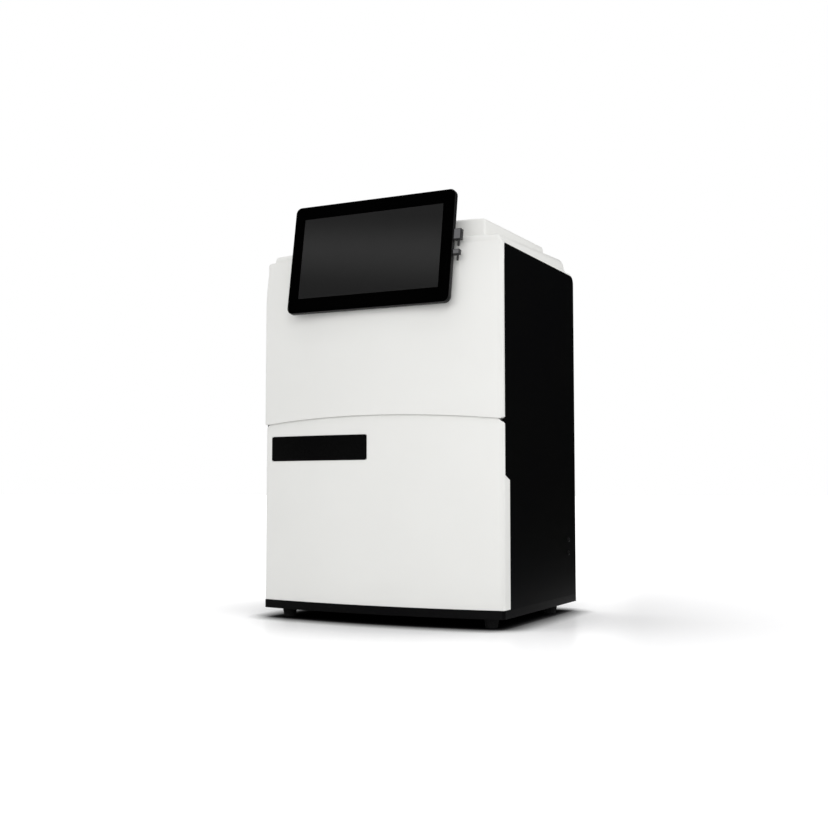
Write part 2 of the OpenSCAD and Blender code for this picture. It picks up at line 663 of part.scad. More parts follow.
module fuse_drawer() place() color([0.07, 0.07, 0.07]) translate([inlet_x, body_d - fuse_l, fuse_z])
  difference() {
    translate([-fuse_w / 2, 0, -fuse_t / 2]) cube([fuse_w, fuse_l + inlet_flange_t - seat, fuse_t]);
    translate([-fuse_w / 2 + 2, 2, -2]) cube([fuse_w - 4, fuse_l - 5, 10]);
    translate([-3, fuse_l + 0.8, -fuse_t / 2 - 1]) cube([6, 5, 2.2]);
  }
rocker_w = 18;
rocker_r = 6.4;
rocker_y = body_d - 4.6;
rocker_swing = 16;
module power_rocker() place() color([0.1, 0.1, 0.1]) translate([inlet_x, rocker_y, rocker_z]) difference() {
  rotate([0, 90, 0]) cylinder(r = rocker_r, h = rocker_w, center = true, $fn = round);
  rotate([rocker_swing / 2, 0, 0]) translate([0, 20.3, 0]) rotate([0, 90, 0])
    cylinder(r = 16, h = rocker_w + 2, center = true, $fn = fine);
}

// ---- telescopic rails: each is drawn for the right side ----
rail_x0 = chassis_in - rail_w;             // inner face of the inner member
member_t = 1.3;
ball_r = 1.6;
rail_y = frame_back + 1;
rail_l = bulkhead_y - 5 - rail_y;
cage_t = 0.8;
outer_h = rail_h;
middle_h = outer_h - 2 * member_t - 4 * (ball_r + slip);
inner_h = middle_h - 2 * member_t - 4 * (ball_r + slip);
// A channel's section (x, z), open towards -x.
module channel(x_web, depth, h) difference() {
  translate([x_web - depth, -h / 2]) square([depth, h]);
  translate([x_web - depth - 1, -h / 2 + member_t]) square([depth - member_t + 1, h - 2 * member_t]);
}
web_gap = 2.2;                             // between the webs of neighbouring members
middle_web = chassis_in - member_t - web_gap;
inner_web = middle_web - member_t - web_gap;
outer_depth = 9.2;
middle_depth = 7.6;
module rail_bar(len) { rotate([90, 0, 0]) linear_extrude(len, center = true) children(); }
module outer_rail() translate([0, rail_y + rail_l / 2, rail_z])
  rail_bar(rail_l) channel(chassis_in, outer_depth, outer_h);
module middle_rail() translate([0, rail_y + rail_l / 2, rail_z])
  rail_bar(rail_l - 2) channel(middle_web, middle_depth, middle_h);
module inner_rail() translate([0, rail_y + rail_l / 2 - 1, rail_z])
  rail_bar(rail_l - 4) difference() {
    translate([rail_x0, -inner_h / 2]) square([inner_web - rail_x0, inner_h]);
    translate([rail_x0 + member_t, -inner_h / 2 + member_t]) square([rail_w, inner_h - 2 * member_t]);
  }
// A pair of ball rows in their cage strips, at x, z above and below the rail's middle.
cage_end = 4;                              // how far a cage stops short of the rails' shared length
cage_l = rail_l - drawer_travel / 2 - 2 * cage_end;
ball_pitch = 12;
module ball_rows(x, z, w) for (s = [-1, 1]) translate([x, rail_y + rail_l / 2, rail_z + s * z]) {
  cube([w, cage_l, cage_t], center = true);
  for (y = [ball_pitch - cage_l / 2 : ball_pitch : cage_l / 2 - ball_pitch]) translate([0, y, 0])
    sphere(r = ball_r, $fn = 32);
}
rail_color = [0.75, 0.76, 0.78];
module left_outer_rail() place() color(rail_color) mirror([1, 0, 0]) outer_rail();
module right_outer_rail() place() color(rail_color) outer_rail();
module left_middle_rail() place() color(rail_color) mirror([1, 0, 0]) middle_rail();
module right_middle_rail() place() color(rail_color) middle_rail();
module left_inner_rail() place() color(rail_color) mirror([1, 0, 0]) inner_rail();
module right_inner_rail() place() color(rail_color) inner_rail();
module outer_ball_cages() place() color([0.85, 0.85, 0.86]) mirror_x()
  ball_rows((chassis_in - outer_depth + middle_web) / 2, middle_h / 2 + ball_r + slip, 4.6);
module inner_ball_cages() place() color([0.85, 0.85, 0.86]) mirror_x()
  ball_rows((middle_web - middle_depth + inner_web) / 2, inner_h / 2 + ball_r + slip, 3.8);

// ---- drawer ----
drawer_z0 = base_h + 0.6;
drawer_back = lower_return - 0.4;
drawer_fwd = -drawer_recess;
module drawer_front() place() color([0.9, 0.9, 0.89]) difference() {
  translate([0, 0, drawer_z0]) linear_extrude(seam_z - drawer_z0) plan(0, drawer_back, drawer_fwd);
  above_seam(-seam_gap / 2);
  difference() {
    translate([0, 0, drawer_z0 + shell_t]) linear_extrude(seam_z) plan(shell_t, drawer_back + 5, drawer_fwd);
    above_seam(-seam_gap / 2 - shell_t);
  }
  mirror_x() translate([half_w - corner_r - 0.4, 0, 0]) rotate([90, 0, 90]) linear_extrude(20)
    polygon([
      [upper_return - 0.4, step_z + step_h], [lower_return, step_z], [lower_return + 9, step_z],
      [lower_return + 9, seam_z + 5], [upper_return - 0.4, seam_z + 5]
    ]);
  mirror_x() translate([half_w - 11, 0, 0]) rotate([90, 0, 90]) linear_extrude(20)
    polygon([
      [upper_return - notch_d + 2, seam_end_z + 1], [upper_return + 2, seam_end_z - notch_h],
      [upper_return + 2, seam_end_z + 1]
    ]);
  corner_nick();
}
module above_seam(dr) difference() {
  translate([-half_w - 5, -60, seam_end_z - 30]) cube([body_w + 10, 120, 60]);
  seam_cylinder(dr);
}
backing_t = 2;
backing_over = 8;                         // how far the backing covers the opening's frame
module drawer_backing() place() color([0.08, 0.08, 0.08])
  translate([-chassis_in - backing_over, drawer_back, opening_z0 - 2])
    cube([2 * (chassis_in + backing_over), backing_t, opening_z1 - opening_z0 + 7]);
plate_r = 2;
module nameplate() place() color([0.02, 0.02, 0.02]) intersection() {
  translate([0, bow_cy(drawer_fwd), plate_z]) difference() {
    cylinder(r = bow_r + plate_t + slip, h = plate_h, $fn = fine * 2);
    translate([0, 0, -1]) cylinder(r = bow_r + slip, h = plate_h + 2, $fn = fine * 2);
  }
  translate([-half_w + plate_left, -40, plate_z]) rotate([90, 0, 0]) mirror([0, 0, 1])
    linear_extrude(80) rounded_rect(plate_w, plate_h, plate_r);
}
module rounded_rect(w, h, r) {
  translate([r, 0]) square([w - 2 * r, h]);
  translate([0, r]) square([w, h - 2 * r]);
  for (x = [r, w - r], y = [r, h - r]) translate([x, y]) circle(r = r, $fn = round);
}
tray_x = rail_x0;
tray_t = 1.5;
tray_y = drawer_back + backing_t;
contact_room = 12;                        // between the tray's back and the bulkhead
tray_d = bulkhead_y - contact_room - tray_y;
module drawer_tray() place() color([0.07, 0.07, 0.07]) difference() {
  translate([-tray_x, tray_y, tray_z]) cube([2 * tray_x, tray_d, tray_h]);
  translate([-tray_x + tray_t, tray_y + tray_t, tray_z + tray_t])
    cube([2 * (tray_x - tray_t), tray_d - 2 * tray_t, tray_h]);
}
table_side_gap = 14.3;                    // between the table and the tray's side walls
table_end_gap = 2.5;
table_w = 2 * (tray_x - tray_t - table_side_gap);
table_d = tray_d - 2 * (tray_t + table_end_gap);
glass_w = table_w - 2 * table_margin;
glass_d = table_d - 2 * table_margin;
table_y = tray_y + (tray_d - table_d) / 2;
table_z = tray_z + tray_t;
table_t = 3;
module table_case() place() color([0.1, 0.1, 0.1]) difference() {
  translate([-table_w / 2, table_y, table_z]) cube([table_w, table_d, table_h]);
  table_cavity(table_t, diffuser_z, table_z + table_h - glass_t - table_t);
  table_cavity(table_t + ledge, table_z + table_t + led_board_t + seat, diffuser_z);
  table_cavity(table_t, table_z + table_t, table_z + table_t + led_board_t + seat);
  glass_pocket(-4 * slip, glass_t);
  glass_pocket(glass_lip, glass_t + table_t + 2);
}
glass_lip = 6;                            // ledge that carries the viewing glass
module glass_pocket(inset, deep)
  translate([-glass_w / 2 + inset, table_y + table_margin + inset, table_z + table_h - deep])
  cube([glass_w - 2 * inset, glass_d - 2 * inset, deep + 1]);
module table_cavity(wall, z0, z1) translate([-table_w / 2 + wall, table_y + wall, z0 - eps])
  cube([table_w - 2 * wall, table_d - 2 * wall, z1 - z0 + 2 * eps]);
ledge = 3;                                 // step that carries the diffuser
led_board_t = 1.6;
module viewing_glass() place() color([0.1, 0.2, 0.75, 0.6])
  translate([-glass_w / 2, table_y + table_margin, table_z + table_h - glass_t])
    cube([glass_w, glass_d, glass_t]);
board_w = table_w - 2 * table_t - 1;
board_d = table_d - 2 * table_t - 1;
led_pitch = 22;
led_r = 2.5;
module blue_led_array() place() color([0.9, 0.9, 0.85])
  translate([0, table_y + table_d / 2, table_z + table_t]) {
  translate([-board_w / 2, -board_d / 2, 0]) cube([board_w, board_d, led_board_t]);
  nx = floor((board_w / 2 - 12) / led_pitch);
  ny = floor((board_d / 2 - 12) / led_pitch);
  for (i = [-nx : nx], j = [-ny : ny]) translate([i * led_pitch, j * led_pitch, led_board_t - eps])
    cylinder(r = led_r, h = 2, $fn = 16);
}
mixing_h = 40;                            // from the light board up to the diffuser
diffuser_z = table_z + table_t + mixing_h;
diffuser_t = 3;
module diffuser_plate() place() color([0.93, 0.93, 0.95])
  translate([-board_w / 2, table_y + table_t + 0.5, diffuser_z]) cube([board_w, board_d, diffuser_t]);

// Blind-mate power contacts and the magnetic catch at the tray's back.
contact_w = 40;
tray_back = tray_y + tray_d;
contact_h = 16;
plug_d = 4;
module contact_plug() place() color([0.12, 0.12, 0.13])
  translate([-contact_w / 2 + 4, tray_back, contact_z - contact_h / 4])
    cube([contact_w - 8, plug_d, contact_h / 2]);
module contact_block() place() color([0.12, 0.12, 0.13]) {
  translate([-contact_w / 2, bulkhead_back, contact_z - contact_h / 2]) cube([contact_w, 8, contact_h]);
  for (i = [-2 : 2]) translate([i * 6, bulkhead_back + eps, contact_z]) rotate([90, 0, 0])
    cylinder(r = 1, h = bulkhead_back - tray_back - plug_d - seat, $fn = 24);
}
magnet_x = 70;
magnet_w = 24;
magnet_h = 12;
striker_t = 1.6;
module drawer_magnet() place() color([0.6, 0.6, 0.62]) mirror_x()
  translate([magnet_x - magnet_w / 2, tray_back + striker_t + 0.4, contact_z - magnet_h / 2])
    cube([magnet_w, bulkhead_y - tray_back - striker_t - 0.4, magnet_h]);
module striker_plate() place() color([0.75, 0.76, 0.78]) mirror_x()
  translate([magnet_x - magnet_w / 2 - 2, tray_back, contact_z - magnet_h / 2 - 2])
    cube([magnet_w + 4, striker_t, magnet_h + 4]);

// ---- touch screen: drawn upright about its middle, front face at y = 0, then leaned ----
screen_dx = -1.8;                         // the screen's middle from the cabinet's
module lean_back(dx = screen_dx) place()
  translate([dx, -screen_fwd, screen_z]) rotate([-lean, 0, 0]) children();
glass_face_t = 1.1;
display_dx = -0.2;
display_dz = 0.8;
module screen_outline(inset) {
  translate([-screen_w / 2 + inset, -screen_h / 2 + inset])
    rounded_rect(screen_w - 2 * inset, screen_h - 2 * inset, screen_r - inset);
}
module upright(y0, t) translate([0, y0, 0]) rotate([90, 0, 0]) mirror([0, 0, 1]) linear_extrude(t) children();
button_top = screen_h / 2;
button_t = 2;                              // thickness of a side button
button_y = screen_t - 5;
button_in = 3;                             // how deep a button stands in the case
button_proud = 0.8;
button_travel = 0.5;
power_x = -screen_w / 2 + 40;
power_w = 12;
volume_x = -screen_w / 2 + 80;
volume_w = 24;
pocket_d = button_in + button_travel + seat;
module button_pocket(x, w) translate([x - w / 2 - slip * 2, button_y - slip * 2, button_top - pocket_d])
  cube([w + 4 * slip, button_t + 4 * slip, pocket_d + 1]);
module side_button(x, w) translate([x - w / 2, button_y, button_top - button_in])
  cube([w, button_t, button_in + button_proud]);
module screen_shell() lean_back() color([0.02, 0.02, 0.02]) difference() {
  upright(glass_face_t, screen_t - glass_face_t) screen_outline(0);
  upright(glass_face_t - 1, 3.5) screen_outline(2);
  button_pocket(power_x, power_w);
  button_pocket(volume_x, volume_w);
  plug_slot(usb_z, usb_tongue);
  plug_slot(micro_z, micro_tongue);
}
// The slot that a plug's tongue stands in, from the case's inside out through its edge.
module plug_slot(z, tongue)
  translate([screen_w / 2 - tongue[0] - 0.5, stem_y - tongue[1] / 2 - seat, z - tongue[2] / 2 - 2 * seat])
    cube([20, tongue[1] + 2 * seat, tongue[2] + 4 * seat]);
module screen_glass() lean_back() color([0.01, 0.01, 0.01])
  upright(0, glass_face_t) screen_outline(0.2);
module screen_display() lean_back() color([0.14, 0.14, 0.15])
  translate([display_dx - display_w / 2, glass_face_t, display_dz - display_h / 2])
    cube([display_w, 2, display_h]);
usb_z = 14.5;
micro_z = -10;
stem_x = screen_w / 2 + 7.8;
stem_y = 4.6;
// A plug in the screen's right edge: a grip, its metal tongue and a strain relief pointing down.
module plug(z, grip, tongue, stem_r, stem_l) color([0.4, 0.4, 0.41]) {
  translate([screen_w / 2 - tongue[0], stem_y - tongue[1] / 2, z - tongue[2] / 2])
    cube([tongue[0] + 0.5, tongue[1], tongue[2]]);
  translate([screen_w / 2 + seat, stem_y - grip[1] / 2, z - grip[2] / 2]) cube(grip);
  translate([stem_x, stem_y, z - grip[2] / 2 - stem_l]) cylinder(r = stem_r, h = stem_l + eps, $fn = round);
}
usb_grip = [11.3, 8, 15.2];
usb_tongue = [11.5, 4.4, 12];
micro_grip = [10.3, 7, 8.6];
micro_tongue = [5.5, 2.2, 6.8];
module usb_plug() lean_back() plug(usb_z, usb_grip, usb_tongue, 2, 8.6);
module micro_usb_plug() lean_back() plug(micro_z, micro_grip, micro_tongue, 1.8, 8.4);
module screen_power_button() lean_back() color([0.05, 0.05, 0.05])
  side_button(power_x, power_w);
module screen_volume_rocker() lean_back() color([0.05, 0.05, 0.05])
  side_button(volume_x, volume_w);

// Hinge: two fixed ears on the hood, one knuckle on the cradle, one pin.
ear_x = 40;
ear_w = 12;
knuckle_w = 2 * (ear_x - ear_w / 2 - 0.3);
module axle(r, w) rotate([0, 90, 0]) cylinder(r = r, h = w, center = true, $fn = round);
module tablet_bracket() place() color([0.08, 0.08, 0.08]) difference() {
  union() {
    translate([-ear_x - ear_w / 2, hinge_y - knuckle_r, tier1_top])
      cube([2 * ear_x + ear_w, 2 * knuckle_r, sheet_t]);
    for (s = [-1, 1]) translate([s * ear_x, hinge_y, 0]) {
      translate([-ear_w / 2, -knuckle_r, tier1_top]) cube([ear_w, 2 * knuckle_r, hinge_z - tier1_top]);
      translate([0, 0, hinge_z]) axle(knuckle_r, ear_w);
    }
  }
  translate([0, hinge_y, hinge_z]) axle(pin_r + slip, 200);
}
// The hinge axis seen from the leaned screen's own frame.
hinge_dy = hinge_y + screen_fwd;
hinge_dz = hinge_z - screen_z;
hinge_v = hinge_dy * cos(lean) - hinge_dz * sin(lean);
hinge_u = hinge_dy * sin(lean) + hinge_dz * cos(lean);
cradle_w = 120;
cradle_z0 = 16;
cradle_z1 = 68;
cradle_t = 2.5;
module screen_cradle() lean_back(0) color([0.08, 0.08, 0.08]) difference() {
  union() {
    translate([-cradle_w / 2, screen_t, cradle_z0]) cube([cradle_w, cradle_t, cradle_z1 - cradle_z0]);
    translate([0, hinge_v, hinge_u]) axle(knuckle_r - 0.5, knuckle_w);
    translate([-knuckle_w / 2, screen_t + 1, hinge_u - knuckle_r + 0.5])
      cube([knuckle_w, hinge_v - screen_t - 1, 2 * knuckle_r - 1]);
  }
  translate([0, hinge_v, hinge_u]) axle(pin_r + slip / 2, 200);
}
module hinge_pin() place() color([0.6, 0.6, 0.62])
  translate([0, hinge_y, hinge_z]) axle(pin_r, 2 * ear_x + ear_w);

base_pan();
rubber_feet();
housing_screws();
front_frame();
left_chassis_plate();
right_chassis_plate();
rear_bulkhead();
left_side_panel();
right_side_panel();
rear_panel();
upper_fascia();
top_cover();
camera_hood();
camera_shelf();
light_seal();
camera_body();
lens_barrel();
focus_ring();
iris_ring();
filter_holder();
amber_filter();
white_light_bars();
light_diffusers();
control_board();
power_supply();
mains_inlet();
inlet_blades();
fuse_drawer();
power_rocker();
left_outer_rail();
right_outer_rail();
left_middle_rail();
right_middle_rail();
outer_ball_cages();
inner_ball_cages();
contact_block();
drawer_magnet();
tablet_bracket();
drawer_front();
drawer_backing();
nameplate();
drawer_tray();
left_inner_rail();
right_inner_rail();
table_case();
blue_led_array();
diffuser_plate();
viewing_glass();
contact_plug();
striker_plate();
screen_shell();
screen_glass();
screen_display();
screen_cradle();
hinge_pin();
usb_plug();
micro_usb_plug();
screen_power_button();
screen_volume_rocker();
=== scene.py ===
# %% [markdown]
# # A gel documentation system, dressed piece by piece
# The instrument is a tall bench cabinet. A bowed white front is split by an arched seam:
# the upper half is a fixed moulding, the lower half is the face of a drawer that carries a
# blue-light table. Black steel sides close the cabinet, a camera looks down from a white
# two-tier hood, and a touch screen leans on a hinge at the top.
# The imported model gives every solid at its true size. This lesson replaces the pieces whose
# finish depends on soft edges and long curves with surfaces worked out from formulas, bevels
# the sheet metal, and gives every piece a procedural material.

# %% Load the frame
import json
import math

import bmesh
import bpy
import numpy as np
from mathutils import Matrix, Vector

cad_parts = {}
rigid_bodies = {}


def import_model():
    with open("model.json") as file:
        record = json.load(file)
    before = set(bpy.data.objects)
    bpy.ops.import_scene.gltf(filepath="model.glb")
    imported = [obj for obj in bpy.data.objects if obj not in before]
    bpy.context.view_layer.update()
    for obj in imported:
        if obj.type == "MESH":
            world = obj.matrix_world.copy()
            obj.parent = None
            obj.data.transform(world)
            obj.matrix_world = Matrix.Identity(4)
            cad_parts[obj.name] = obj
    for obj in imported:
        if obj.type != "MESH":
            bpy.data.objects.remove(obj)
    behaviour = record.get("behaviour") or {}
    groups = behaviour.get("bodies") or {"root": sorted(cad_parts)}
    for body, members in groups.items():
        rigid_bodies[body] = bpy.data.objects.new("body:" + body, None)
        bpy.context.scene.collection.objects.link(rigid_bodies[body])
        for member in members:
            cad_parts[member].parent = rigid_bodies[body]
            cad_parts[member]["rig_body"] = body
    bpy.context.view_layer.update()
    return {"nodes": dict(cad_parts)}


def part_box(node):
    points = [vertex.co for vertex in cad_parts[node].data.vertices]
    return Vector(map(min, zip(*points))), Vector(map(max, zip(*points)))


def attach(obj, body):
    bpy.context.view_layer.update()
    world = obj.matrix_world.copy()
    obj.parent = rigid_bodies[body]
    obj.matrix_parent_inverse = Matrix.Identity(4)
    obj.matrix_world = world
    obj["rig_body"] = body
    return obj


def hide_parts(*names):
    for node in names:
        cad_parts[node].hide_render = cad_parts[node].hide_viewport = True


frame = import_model()

# %% [markdown]
# ## Where things are
# The cabinet is easiest to describe from its own corner: x across the middle, y back from the
# straight line that joins the two front corners (the chord of the bow), z up from the
# underside of the base. The frame's boxes give that line and that level, so a change of the
# model moves the dressing with it.

# %% The cabinet's own measures
MM = 0.001


def box_mm(node):
    """Lowest and highest corners of a node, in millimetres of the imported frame."""
    lo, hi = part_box(node)
    return np.array(lo) / MM, np.array(hi) / MM


UPPER_RETURN = 6.0
panel_lo = box_mm("left_side_panel")[0]
base_lo, base_hi = box_mm("base_pan")
feet_lo = box_mm("rubber_feet")[0]
chord_y = panel_lo[1] - UPPER_RETURN
floor_z = base_lo[2]
half_w = base_hi[0]
front_bow = chord_y - base_lo[1]
body_d = base_hi[1] - chord_y
bow_r = (half_w**2 + front_bow**2) / (2 * front_bow)
print(f"half width {half_w:.1f}, bow {front_bow:.1f} on a radius of {bow_r:.0f}, depth {body_d:.1f} mm")


def levels(node):
    """The bottom and the top of a node, in millimetres above the base's underside."""
    lo, hi = box_mm(node)
    return lo[2] - floor_z, hi[2] - floor_z


def placed(points):
    """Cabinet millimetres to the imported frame's metres: shift by the chord and the base, then scale."""
    return (np.asarray(points, float) + [0.0, chord_y, floor_z]) * MM


# %% [markdown]
# ## A small kit for surfaces
# Every new shape here is a grid: a function of two parameters, or one profile carried along
# a path. numpy works out all of its points at once, and the faces follow from the counting
# order of the rows and columns. Loops that come back to their start are closed, and flat ends
# are closed by one polygon, so each piece is a watertight shell like a real moulding.


# %% Grids, caps and pieces
def stack(*coordinates):
    """Arrays of x, y and z that broadcast together, joined into one array of points."""
    return np.stack(np.broadcast_arrays(*coordinates), axis=-1).astype(float)


def grid(points, close_rows=False, close_cols=False, caps=()):
    """Points and faces of a grid [row, column]. A cap closes the first or last row or column."""
    rows, cols = points.shape[:2]
    r, c = np.meshgrid(
        np.arange(rows if close_rows else rows - 1),
        np.arange(cols if close_cols else cols - 1),
        indexing="ij",
    )
    r2, c2 = (r + 1) % rows, (c + 1) % cols
    quads = np.stack([r * cols + c, r * cols + c2, r2 * cols + c2, r2 * cols + c], -1)
    faces = quads.reshape(-1, 4).tolist()
    number = np.arange(rows * cols).reshape(rows, cols)
    ends = {"first": number[0], "last": number[-1], "left": number[:, 0], "right": number[:, -1]}
    faces += [ends[cap].tolist() for cap in caps]
    return points.reshape(-1, 3), faces


def joined(shells):
    """Several (points, faces) shells as one, with the face numbers moved along."""
    points, faces, start = [], [], 0
    for shell_points, shell_faces in shells:
        points.append(shell_points)
        faces += [[i + start for i in face] for face in shell_faces]
        start += len(shell_points)
    return np.concatenate(points), faces


print("a grid of 3 by 4 points has", len(grid(np.zeros((3, 4, 3)))[1]), "faces")


# %% [markdown]
# A mesh becomes a piece in the same few steps each time: doubled points are merged, edges that
# turn sharply are kept as creases while the rest is shaded smooth, and the piece gets its
# material, the body that it rides on and the solids that it stands for.

# %% From a mesh to a piece
WELD = 2e-6


def merged(mesh, finish_step):
    """Merges a mesh's doubled points, then takes one more step on its bmesh."""
    shell = bmesh.new()
    shell.from_mesh(mesh)
    bmesh.ops.remove_doubles(shell, verts=shell.verts, dist=WELD)
    finish_step(shell)
    shell.to_mesh(mesh)
    shell.free()


def dressed(name, mesh, crease, material, body, stands_for):
    """An object for a mesh: smooth but for its creases, finished, riding and standing for nodes."""
    mesh.shade_smooth()
    mesh.set_sharp_from_angle(angle=math.radians(crease))
    mesh.materials.clear()
    mesh.materials.append(material)
    thing = bpy.data.objects.new(name, mesh)
    bpy.context.scene.collection.objects.link(thing)
    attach(thing, body)
    if stands_for:
        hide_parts(*stands_for)
    return thing


def new_piece(name, shells, material, body, stands_for=(), crease=38):
    """A mesh piece from shells in cabinet millimetres, on a body, in place of CAD nodes."""
    points, faces = joined(shells)
    mesh = bpy.data.meshes.new(name)
    mesh.from_pydata(placed(points).tolist(), [], faces)
    merged(mesh, lambda shell: bmesh.ops.recalc_face_normals(shell, faces=shell.faces))
    print(f"{name}: {len(mesh.polygons)} faces on {body}")
    return dressed(name, mesh, crease, material, body, stands_for)


print("points closer than", WELD, "m are merged")

# %% [markdown]
# Sheet metal and small machined parts keep their solid's shape. What a solid lacks is the
# small radius that every bent or deburred edge has, which catches a thin line of light.
# So a copy of the node's mesh is merged, its coplanar triangles are dissolved, and a Bevel
# modifier rounds each edge that turns by more than thirty degrees. Weighted normals then keep
# the large flat faces flat next to the narrow bevels.

# %% Deburred copies of solids
FLAT_ANGLE = math.radians(0.05)
BEVEL_DEGREES = 30


def dissolve_flat(shell):
    """Joins triangles that lie in one plane."""
    bmesh.ops.dissolve_limit(shell, angle_limit=FLAT_ANGLE, verts=shell.verts, edges=shell.edges)


def deburred(node, material, width):
    """A bevelled copy of a node's solid: width in millimetres."""
    solid = frame["nodes"][node]
    mesh = solid.data.copy()
    merged(mesh, dissolve_flat)
    thing = dressed(node + "_deburred", mesh, BEVEL_DEGREES, material, solid["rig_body"], [node])
    bevel = thing.modifiers.new("deburred edges", "BEVEL")
    bevel.limit_method = "ANGLE"
    bevel.angle_limit = math.radians(BEVEL_DEGREES)
    bevel.width = width * MM
    bevel.segments = 2
    bevel.use_clamp_overlap = True
    thing.modifiers.new("flat faces stay flat", "WEIGHTED_NORMAL").keep_sharp = True


print("edges that turn by more than", BEVEL_DEGREES, "degrees are bevelled")


# %% [markdown]
# ## Finishes
# A finish is more than a colour. Moulded plastic drifts a little in tone and has a faint
# orange-peel skin; powder coat is a field of fine bumps; brushed metal carries long scratches
# in one direction. Effects that several materials share are node groups with named inputs,
# built once. They put out only values that change over the surface; everything that is the
# same all over is set on the material's own shader.


# %% Shared effects as node groups
def node_group(name, inputs, outputs):
    """A shader node group with named sockets, and its input and output nodes."""
    group = bpy.data.node_groups.new(name, "ShaderNodeTree")
    for label, kind, value in inputs:
        group.interface.new_socket(label, in_out="INPUT", socket_type=kind).default_value = value
    for label, kind in outputs:
        group.interface.new_socket(label, in_out="OUTPUT", socket_type=kind)
    return group, group.nodes.new("NodeGroupInput"), group.nodes.new("NodeGroupOutput")


def make(nodes, kind, **settings):
    """A node of a kind, with attributes and, for names with a leading underscore, inputs set."""
    node = nodes.new(kind)
    for key, value in settings.items():
        if key.startswith("_"):
            node.inputs[key[1:].replace("_", " ")].default_value = value
        else:
            setattr(node, key, value)
    return node


FLOAT, COLOR, VECTOR = "NodeSocketFloat", "NodeSocketColor", "NodeSocketVector"


def noise_ramp(group, given, low, high, **settings):
    """Noise over object coordinates, and a ramp of it from a low level to a high one.

    A group with a Stretch input scales the coordinates by it, and any other scales the noise.
    """
    nodes, link = group.nodes, group.links.new
    place = make(nodes, "ShaderNodeTexCoord").outputs["Object"]
    noise = make(nodes, "ShaderNodeTexNoise", **settings)
    ramp = make(nodes, "ShaderNodeMapRange", _From_Min=low, _From_Max=high)
    if "Stretch" in given.outputs:
        stretched = make(nodes, "ShaderNodeVectorMath", operation="MULTIPLY")
        link(place, stretched.inputs[0])
        link(given.outputs["Stretch"], stretched.inputs[1])
        place = stretched.outputs["Vector"]
    else:
        link(given.outputs["Scale"], noise.inputs["Scale"])
    link(place, noise.inputs["Vector"])
    link(noise.outputs["Fac"], ramp.inputs["Value"])
    return noise, ramp


def build_tone_drift():
    """Colour that drifts between two tones, by a broad noise."""
    inputs = [("Base", COLOR, (1, 1, 1, 1)), ("Other", COLOR, (1, 1, 1, 1)), ("Scale", FLOAT, 6.0)]
    group, given, result = node_group("tone_drift", inputs, [("Color", COLOR)])
    _, ramp = noise_ramp(group, given, 0.35, 0.65, _Detail=3.0, _Roughness=0.55)
    mix = make(group.nodes, "ShaderNodeMix", data_type="RGBA")
    group.links.new(ramp.outputs["Result"], mix.inputs["Factor"])
    group.links.new(given.outputs["Base"], mix.inputs[6])
    group.links.new(given.outputs["Other"], mix.inputs[7])
    group.links.new(mix.outputs[2], result.inputs["Color"])
    return group


def build_skin(name, size, **settings):
    """Surface height from a noise, and a roughness between Low and High that follows it."""
    inputs = [size, ("Low", FLOAT, 0.4), ("High", FLOAT, 0.5)]
    group, given, result = node_group(name, inputs, [("Height", FLOAT), ("Roughness", FLOAT)])
    noise, ramp = noise_ramp(group, given, 0.3, 0.7, **settings)
    group.links.new(given.outputs["Low"], ramp.inputs["To Min"])
    group.links.new(given.outputs["High"], ramp.inputs["To Max"])
    group.links.new(noise.outputs["Fac"], result.inputs["Height"])
    group.links.new(ramp.outputs["Result"], result.inputs["Roughness"])
    return group


TONE_DRIFT = build_tone_drift()
GRAIN = build_skin("grain", ("Scale", FLOAT, 900.0), _Detail=2.0, _Roughness=0.6)
BRUSHING = build_skin("brushing", ("Stretch", VECTOR, (40, 1500, 1500)), _Scale=1.0, _Detail=3.0)
print("effects:", [g.name for g in bpy.data.node_groups])


# %% [markdown]
# One maker puts the groups together: the tone group feeds Base Color, and the grain or the
# brushing feeds a Bump node and the Roughness. Gloss and coat are numbers on the shader itself.


# %% The maker of finishes
def shade(value):
    """A colour as it is seen on a screen, from 0 to 255 a channel, as linear light."""
    c = np.array(value, float) / 255
    linear = np.where(c <= 0.04045, c / 12.92, ((c + 0.055) / 1.055) ** 2.4)
    return (*linear.tolist(), 1.0)


GLOSS = {
    "metallic": "Metallic", "specular": "Specular IOR Level", "coat": "Coat Weight",
    "coat_rough": "Coat Roughness", "transmission": "Transmission Weight",
}


def finish(name, tone, other, rough=(0.4, 0.5), grain=(900.0, 0.05), brushed=None, drift=6.0, **gloss):
    """A Principled material. grain is (scale per metre, bump height in millimetres)."""
    material = bpy.data.materials.new(name)
    material.use_nodes = True
    nodes, link = material.node_tree.nodes, material.node_tree.links.new
    shader = nodes["Principled BSDF"]
    drifted = make(nodes, "ShaderNodeGroup", node_tree=TONE_DRIFT)
    drifted.inputs["Base"].default_value = shade(tone)
    drifted.inputs["Other"].default_value = shade(other)
    drifted.inputs["Scale"].default_value = drift
    skin = make(nodes, "ShaderNodeGroup", node_tree=BRUSHING if brushed else GRAIN)
    skin.inputs[0].default_value = brushed or grain[0]
    skin.inputs["Low"].default_value, skin.inputs["High"].default_value = rough
    bump = make(nodes, "ShaderNodeBump", _Strength=0.6, _Distance=grain[1] * MM)
    link(drifted.outputs["Color"], shader.inputs["Base Color"])
    link(skin.outputs["Roughness"], shader.inputs["Roughness"])
    link(skin.outputs["Height"], bump.inputs["Height"])
    link(bump.outputs["Normal"], shader.inputs["Normal"])
    for key, value in gloss.items():
        shader.inputs[GLOSS[key]].default_value = value
    material.diffuse_color = shade(tone)
    return material


print("a finish sets:", ", ".join(GLOSS.values()))

